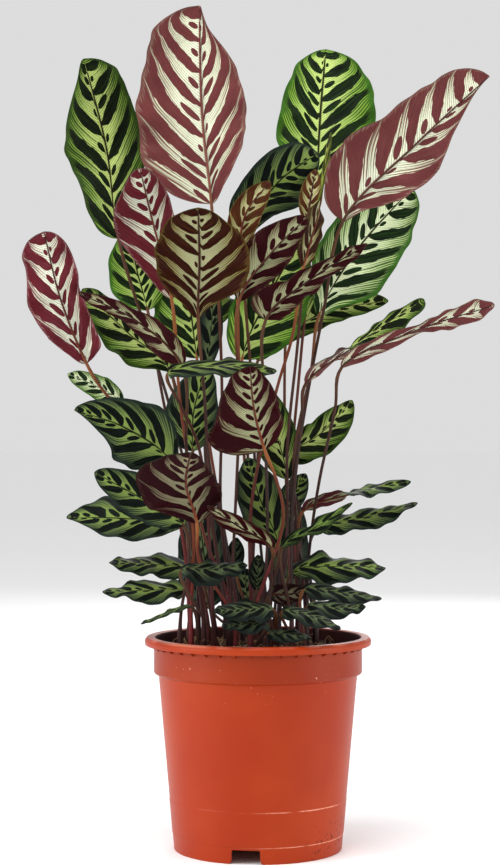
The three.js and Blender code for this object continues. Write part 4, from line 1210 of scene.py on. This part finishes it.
    Leaf("low_leaf_10", Crown.INNER_LEFT, via=(),
         base=(-1, 193, -22), middle=(0, 206, -22), tip=(0, 220, -22),
         half=(7, 7), wave=(1, 2, 1), tint=Tint.DEEP),
    Leaf("rear_leaf_1", Crown.BACK_LEFT, via=((-40, 300, 70),),
         base=(-36, 392, 90), middle=(-44, 420, 110), tip=(-52, 424, 124),
         half=(28, 28), wave=(2, 3, 1), spread=True, tint=Tint.LIME),
    Leaf("rear_leaf_2", Crown.BACK_RIGHT, via=((20, 320, 80),),
         base=(22, 400, 96), middle=(28, 430, 114), tip=(32, 438, 128),
         half=(28, 28), wave=(2, 3, 2), spread=True, tint=Tint.LIME),
    Leaf("rear_leaf_3", Crown.BACK, via=(),
         base=(-36, 180, 64), middle=(-40, 216, 86), tip=(-46, 262, 110),
         half=(22, 22), wave=(2, 2, 1), tint=Tint.DEEP),
    Leaf("rear_leaf_4", Crown.BACK, via=(),
         base=(20, 180, 64), middle=(22, 219, 87), tip=(27, 264, 110),
         half=(16, 18), wave=(2, 2, 1), tint=Tint.DEEP),
    Leaf("rear_leaf_5", Crown.BACK_RIGHT, via=(),
         base=(-6, 166, 58), middle=(-8, 186, 66), tip=(-10, 210, 72),
         half=(17, 17), wave=(2, 2, 1), tint=Tint.DEEP),
)


@dataclass
class Plant:
    """The leaves, each dressed in its own colouring."""

    leaves: Sequence[Leaf] = LEAVES
    finishes: dict[Tint, list[Material]] = field(default_factory=dict)

    def feet(self) -> dict[str, Array]:
        """Each crown's stalks stand evenly in a ring, each as near as it can to the side that it leans to."""
        feet: dict[str, Array] = {}
        for crown in Crown:
            ring = sorted((leaf for leaf in self.leaves if leaf.crown is crown), key=Leaf.heading)
            step = 2 * np.pi / len(ring)
            ahead = np.array([leaf.heading() for leaf in ring]) - np.arange(len(ring)) * step
            turn = np.arctan2(np.sin(ahead).sum(), np.cos(ahead).sum())
            for i, leaf in enumerate(ring):
                out = GROWTH.foot_circle * np.array([np.cos(turn + i * step), np.sin(turn + i * step)])
                feet[leaf.name] = np.array([*(np.array(crown.value) + out), GROWTH.foot_height])
        return feet

    def dress(self) -> None:
        """Makes the materials: upper face, under face and stalk for each tint."""
        pale_rib = StalkFinish(rib=paint(186, 110, 90), rib_end=paint(140, 62, 62)).material("stalk_pale_rib")
        dark_rib = StalkFinish(rib=paint(126, 52, 30), rib_end=paint(82, 22, 26)).material("stalk_dark_rib")
        for tint in Tint:
            name = f"blade_{tint.name.lower()}"
            faces = [finish.material(f"{name}_{face.value}") for face, finish in zip(Face, tint.value)]
            self.finishes[tint] = [*faces, pale_rib if tint is Tint.ROSE else dark_rib]

    def build(self) -> None:
        """Builds every leaf in the place of its CAD node."""
        self.dress()
        feet = self.feet()
        for number, leaf in enumerate(self.leaves):
            piece = leaf.skin(feet[leaf.name], number).made(f"{leaf.name}_skin", self.finishes[leaf.tint])
            settle(piece, "leaf_tissue", leaf.name)


def eased(profile: Array, reach: float) -> Array:
    """A profile with each corner between two others turned into a short parabola of five points."""
    before, corner, after = profile[:-2], profile[1:-1], profile[2:]
    back, ahead = before - corner, after - corner
    far = np.linalg.norm(back, axis=1, keepdims=True), np.linalg.norm(ahead, axis=1, keepdims=True)
    start = corner + back / far[0] * np.minimum(reach, far[0] / 2.2)
    end = corner + ahead / far[1] * np.minimum(reach, far[1] / 2.2)
    u = np.linspace(0, 1, 5)[None, :, None]
    arc = (1 - u) ** 2 * start[:, None] + 2 * u * (1 - u) * corner[:, None] + u**2 * end[:, None]
    return np.vstack([profile[:1], arc.reshape(-1, 2), profile[-1:]])


def turned(profile: Array, sides: int) -> Array:
    """Rings of corners: each profile point (radius, height) turned about the pot's axis."""
    angle = 2 * np.pi * np.arange(sides) / sides
    radius, height = profile[:, 0, None], profile[:, 1, None]
    return np.stack(np.broadcast_arrays(radius * np.cos(angle), radius * np.sin(angle), height), axis=-1)


@dataclass(frozen=True)
class Pot:
    """The nursery pot: a turned shell with a hanging lip and a foot ring, notched and drained."""

    height: float = 159.0
    lip_radius: float = 85.0
    lip_drop: float = 6.0
    collar_radius: float = 78.2
    collar_foot: float = 132.0
    wall_top_radius: float = 74.6
    foot_radius: float = 63.0
    wall: float = 1.6
    floor_height: float = 11.0
    seam_height: float = 38.0
    seam_step: float = 0.25
    sides: int = 240
    rib_count: int = 44
    rib_thickness: float = 0.8
    rib_drop: float = 3.0
    notch_width: float = 21.0
    notch_height: float = 10.5
    notch_angles: tuple[float, ...] = (-98.3, 21.7, 141.7)
    drain_count: int = 8
    drain_circle: float = 44.0
    drain_radius: float = 4.5

    def inner_top(self) -> float:
        """The inner radius inside the collar."""
        return self.collar_radius - self.wall

    def wall_radius(self, height: float) -> float:
        """The tapered wall's outer radius at a height."""
        return mixed(self.foot_radius, self.wall_top_radius, height / (self.collar_foot - 1.5))

    def profile(self) -> Array:
        """The shell's outline from under the floor, out and up the wall, over the lip and back inside."""
        ledge = self.height - self.wall
        floor_top = self.floor_height + self.wall
        seam = self.seam_height
        inner = self.wall_top_radius - self.wall
        points = [
            (0.6, self.floor_height),
            (self.foot_radius - 2.4, self.floor_height),
            (self.foot_radius - 1.8, 0.0),
            (self.foot_radius, 0.0),
            (self.wall_radius(12.0), 12.0),
            (self.wall_radius(12.4) + self.seam_step, 12.4),
            (self.wall_radius(seam) + self.seam_step, seam),
            (self.wall_radius(seam + 0.5), seam + 0.5),
            (self.wall_top_radius, self.collar_foot - 1.5),
            (self.collar_radius - 0.4, self.collar_foot),
            (self.collar_radius, self.collar_foot + 1.0),
            (self.collar_radius, ledge),
            (self.lip_radius - self.wall, ledge),
            (self.lip_radius - self.wall, self.height - self.lip_drop),
            (self.lip_radius - 0.2, self.height - self.lip_drop),
            (self.lip_radius, self.height - 2.4),
            (self.lip_radius - 1.6, self.height),
            (self.inner_top() + 1.2, self.height),
            (self.inner_top(), self.height - 1.4),
            (self.inner_top(), self.collar_foot + 2.0),
            (inner, self.collar_foot - 1.0),
            (self.foot_radius + 0.5 - self.wall, floor_top),
            (0.6, floor_top),
        ]
        return eased(np.array(points), 0.7)

    def gussets(self) -> Skin:
        """The small ribs under the lip: a wedge from the collar to the lip's skirt, turned round the axis."""
        inner, outer = self.collar_radius - 0.4, self.lip_radius - self.wall + 0.3
        top, foot = self.height - self.wall + 0.3, self.height - self.lip_drop
        outline = np.array([(inner, foot - self.rib_drop), (inner, top), (outer, top), (outer, foot + 0.3)])
        wedges = []
        for angle in 2 * np.pi * (np.arange(self.rib_count) + 0.5) / self.rib_count:
            out, aside = outward(angle)
            sides = np.array([[-0.5], [0.5]]) * self.rib_thickness * aside
            flat = outline[None, :, :1] * out + sides[:, None]
            height = np.broadcast_to(outline[None, :, 1:], (2, 4, 1))
            grid = np.concatenate([flat, height], axis=-1)
            wedges.append(Skin.plain(grid))
        return Skin.joined(wedges)

    def cut(self, piece: Piece) -> None:
        """Cuts the foot's notches and the drain holes, each by a closed tube, with one boolean."""
        tubes = []
        half, corner, reach = self.notch_width / 2, 2.6, 9.0
        for turn in np.radians(self.notch_angles):
            bow = [(-half - corner, -2), (-half - corner, 0), (-half - 0.8, 0.8), (-half, corner + 0.4)]
            flat = [(-half, self.notch_height - 1.2), (-half + 1.2, self.notch_height)]
            left = np.array([*bow, *flat])
            outline = np.vstack([left, left[::-1] * (-1, 1)])[::-1]
            out, aside = outward(turn)
            rows = []
            for radius in (self.foot_radius - reach, self.foot_radius + reach):
                rows.append(np.column_stack([radius * out + outline[:, :1] * aside, outline[:, 1]]))
            grid = np.array(rows)
            tubes.append(Skin.plain(grid))
        for turn in 2 * np.pi * np.arange(self.drain_count) / self.drain_count:
            centre = self.drain_circle * np.array([np.cos(turn), np.sin(turn), 0])
            grid = turned(np.array([(self.drain_radius, 5.0), (self.drain_radius, 20.0)]), 32) + centre
            tubes.append(Skin.plain(grid))
        cutter = Skin.joined(tubes).made("pot_cutter", [])
        modifier = piece.modifiers.new("cut", "BOOLEAN")
        modifier.operation = "DIFFERENCE"
        modifier.solver = "EXACT"
        modifier.object = cutter
        view = bpy.context.evaluated_depsgraph_get()
        mesh = bpy.data.meshes.new_from_object(piece.evaluated_get(view))
        piece.modifiers.clear()
        piece.data = mesh
        bpy.data.objects.remove(cutter)

    def build(self) -> None:
        """Builds the pot in the place of its CAD node."""
        plastic = PlasticFinish().material()
        grid = turned(self.profile(), self.sides)
        shell = Skin.plain(grid).made("pot_shell", [plastic], 32.0)
        self.cut(shell)
        settle(shell, "pot_plastic", "pot")
        settle(self.gussets().made("pot_lip_ribs", [plastic], 30.0), "pot_plastic")


@dataclass(frozen=True)
class Bits:
    """Loose bits scattered on the soil: how many, their sizes in millimetres, and their finish."""

    name: str
    count: int
    low: float
    high: float
    finish: BitFinish
    seed: int
    squash: float = 0.7


@dataclass(frozen=True)
class Soil:
    """The potting mix: a low rough mound with crumbs, pale grains and root fibres on it."""

    edge: float = 147.0
    middle: float = 151.0
    radius: float = 76.2
    foot: float = 134.0
    rings: int = 70
    sides: int = 220
    relief: float = 1.3
    fibre_count: int = 260
    fibre_radius: float = 0.3
    crumbs: tuple[Bits, ...] = (
        Bits(
            "soil_crumbs", count=1100, low=0.7, high=2.6, seed=3,
            finish=BitFinish("bark_crumb", paint(26, 18, 14), paint(92, 62, 40)),
        ),
        Bits(
            "soil_grains", count=90, low=0.5, high=1.5, seed=4,
            finish=BitFinish("pale_grain", paint(214, 208, 194), paint(168, 158, 138)),
        ),
    )

    def height(self, x: Array, y: Array) -> Array:
        """The surface: a mound that falls from the middle to the edge, with lumps of two sizes."""
        radius = np.hypot(x, y) / self.radius
        mound = mixed(self.middle, self.edge, np.clip(radius, 0, 1) ** 1.6)
        lumps = waves(x, y, 19, 1) * 0.6 + waves(x, y, 6, 2) * 0.35 + waves(x, y, 2.6, 5) * 0.25
        return mound + self.relief * lumps * (1 - 0.5 * smoothstep(radius, 0.9, 1.0))

    def body(self) -> Skin:
        """The mound's rings from the wall to the middle, on a plain filling that goes down inside the pot."""
        out = np.linspace(1, 0.008, self.rings)[:, None]
        angle = 2 * np.pi * np.arange(self.sides) / self.sides
        x, y = self.radius * out * np.cos(angle), self.radius * out * np.sin(angle)
        top = np.stack([x, y, self.height(x, y)], axis=-1)
        filling = np.array([(0.6, 12.9), (61.5, 12.9), (72.6, 131.0), (self.radius, self.foot + 1)])
        grid = np.concatenate([turned(filling, self.sides), top])
        return Skin.plain(grid)

    def scattered(self, bits: Bits) -> Skin:
        """Small lumps: balls of four rings with every corner pushed in or out at random, half sunk."""
        draw = np.random.default_rng(bits.seed)
        spin = draw.uniform(0, 2 * np.pi, bits.count)
        out = (self.radius - 3.0) * np.sqrt(draw.uniform(0, 1, bits.count))
        x, y = out * np.cos(spin), out * np.sin(spin)
        size = bits.low + (bits.high - bits.low) * draw.uniform(0, 1, bits.count) ** 2.2
        centre = np.stack([x, y, self.height(x, y) + size * 0.25], axis=-1)
        tilt = np.array([0.25, 0.95, 0.75, 0.2])
        rise = np.array([-1.0, -0.45, 0.4, 1.0])
        angle = 2 * np.pi * np.arange(6) / 6
        ball = np.stack(np.broadcast_arrays(tilt[:, None] * np.cos(angle), tilt[:, None] * np.sin(angle),
                                            rise[:, None] * bits.squash), axis=-1)
        push = draw.uniform(0.7, 1.25, (bits.count, 4, 6, 1))
        stretch = draw.uniform(0.6, 1.4, (bits.count, 1, 1, 3))
        lumps = centre[:, None, None] + ball * push * stretch * size[:, None, None, None]
        return Skin.joined([Skin.plain(lump) for lump in lumps])

    def fibres(self) -> Skin:
        """Root fibres: thin tubes along shallow arcs that curl across the soil."""
        draw = np.random.default_rng(8)
        share = np.linspace(0, 1, 14)
        tubes = []
        for _ in range(self.fibre_count):
            spin, out = draw.uniform(0, 2 * np.pi), (self.radius - 9.0) * np.sqrt(draw.uniform(0.05, 1))
            length, curl = draw.uniform(8, 26), draw.uniform(-2.6, 2.6)
            turn = draw.uniform(0, 2 * np.pi) + curl * share
            x = out * np.cos(spin) + np.cumsum(np.cos(turn)) * length / len(share)
            y = out * np.sin(spin) + np.cumsum(np.sin(turn)) * length / len(share)
            far = np.maximum(np.hypot(x, y) / (self.radius - 1.5), 1)
            x, y = x / far, y / far
            z = self.height(x, y) + draw.uniform(0.5, 8.5) * np.sin(np.pi * share) + 0.1
            spots = np.stack([x, y, z], axis=-1)
            along = unit(np.gradient(spots, axis=0))
            right = unit(np.cross(along, UP))
            upper = np.cross(right, along)
            angle = np.pi - 2 * np.pi * np.arange(6) / 6
            taper = self.fibre_radius * (1 - 0.6 * share) * draw.uniform(0.6, 1.3)
            grid = spots[:, None] + spokes(angle, right, upper) * taper[:, None, None]
            tubes.append(Skin.plain(grid))
        return Skin.joined(tubes)

    def build(self) -> None:
        """Builds the soil in the place of its CAD node, with what lies on it."""
        settle(self.body().made("soil_mound", [SoilFinish().material()]), "potting_soil", "soil")
        for bits in self.crumbs:
            settle(self.scattered(bits).made(bits.name, [bits.finish.material()]), "potting_soil")
        fibre = BitFinish("root_fibre", paint(170, 134, 92), paint(104, 74, 48), 0.7)
        settle(self.fibres().made("root_fibres", [fibre.material()]), "potting_soil")


def aimed(way: Array) -> tuple[float, float, float]:
    """The XYZ turns that point a light or a camera, which looks along its own -Z, along a unit way."""
    return float(np.arccos(-way[2])), 0.0, float(np.arctan2(-way[0], way[1]))


@dataclass(frozen=True)
class Lamp:
    """One soft area light: where it stands and what it looks at, in metres, its size and its power."""

    name: str
    place: Spot
    target: Spot
    size: float
    power: float
    colour: Spot = (1.0, 1.0, 1.0)

    def build(self) -> None:
        """Makes the light, turned to its target."""
        data = bpy.data.lights.new(self.name, "AREA")
        data.shape = "DISK"
        data.size = self.size
        data.energy = self.power
        data.color = self.colour
        lamp = bpy.data.objects.new(self.name, data)
        lamp.location = self.place
        lamp.rotation_euler = aimed(unit(np.array(self.target) - np.array(self.place)))
        bpy.context.scene.collection.objects.link(lamp)


@dataclass(frozen=True)
class Studio:
    """The plain pale floor, the soft light and the camera at the photograph's angle."""

    floor_half: float = 30.0
    world: float = 0.72
    lamps: tuple[Lamp, ...] = (
        Lamp("left_box", (-1.9, -0.8, 0.7), (0.0, 0.0, 0.4), 1.1, 28.0),
        Lamp("right_box", (1.9, -0.6, 0.5), (0.0, 0.0, 0.3), 0.9, 16.0),
        Lamp("top_box", (-0.3, -0.7, 2.0), (0.0, 0.0, 0.4), 1.0, 20.0),
        Lamp("back_box", (0.4, 1.9, 1.2), (0.0, 0.0, 0.35), 1.3, 12.0),
    )

    def camera(self) -> None:
        """A level camera at the eye, looking straight back; its film's long side stands upright."""
        data = bpy.data.cameras.new("photo_camera")
        data.sensor_fit = "VERTICAL"
        data.sensor_height = FILM
        data.lens = FOCUS / PICTURE[1] * FILM
        camera = bpy.data.objects.new("photo_camera", data)
        camera.location = EYE * MM
        camera.rotation_euler = aimed(np.array([0.0, 1.0, 0.0]))
        bpy.context.scene.collection.objects.link(camera)
        bpy.context.scene.camera = camera

    def floor(self) -> None:
        """A wide flat floor, just under the pot's foot."""
        half = self.floor_half / MM
        top, low = -0.02, -10.0
        corners = [(-half, half), (-half, -half), (half, -half), (half, half)]
        grid = np.array([[(*corner, height) for corner in corners] for height in (low, top)])
        tree = Tree("floor_paint")
        grain = tree.noise(tree.place(), 3.0)
        paper = tree.blend(grain, paint(252, 252, 252), paint(254, 254, 254))
        white = tree.finished(Base_Color=paper, Roughness=0.8, Specular_IOR_Level=0.1)
        Skin.plain(grid).made("floor", [white])

    def sky(self) -> None:
        """An even pale surrounding light."""
        world = bpy.data.worlds.new("studio")
        world.use_nodes = True
        back = world.node_tree.nodes["Background"]
        back.inputs["Color"].default_value = (1.0, 1.0, 1.0, 1.0)
        back.inputs["Strength"].default_value = self.world
        bpy.context.scene.world = world
        bpy.context.scene.view_settings.view_transform = "Standard"

    def build(self) -> None:
        """Sets up the camera, the floor and the light."""
        self.camera()
        self.floor()
        self.sky()
        for lamp in self.lamps:
            lamp.build()


def main() -> None:
    """Builds the studio, the pot, the soil and the plant."""
    logging.basicConfig(level=logging.INFO, format="%(message)s")
    Studio().build()
    Pot().build()
    Soil().build()
    Plant().build()


if __name__ == "__main__":
    main()
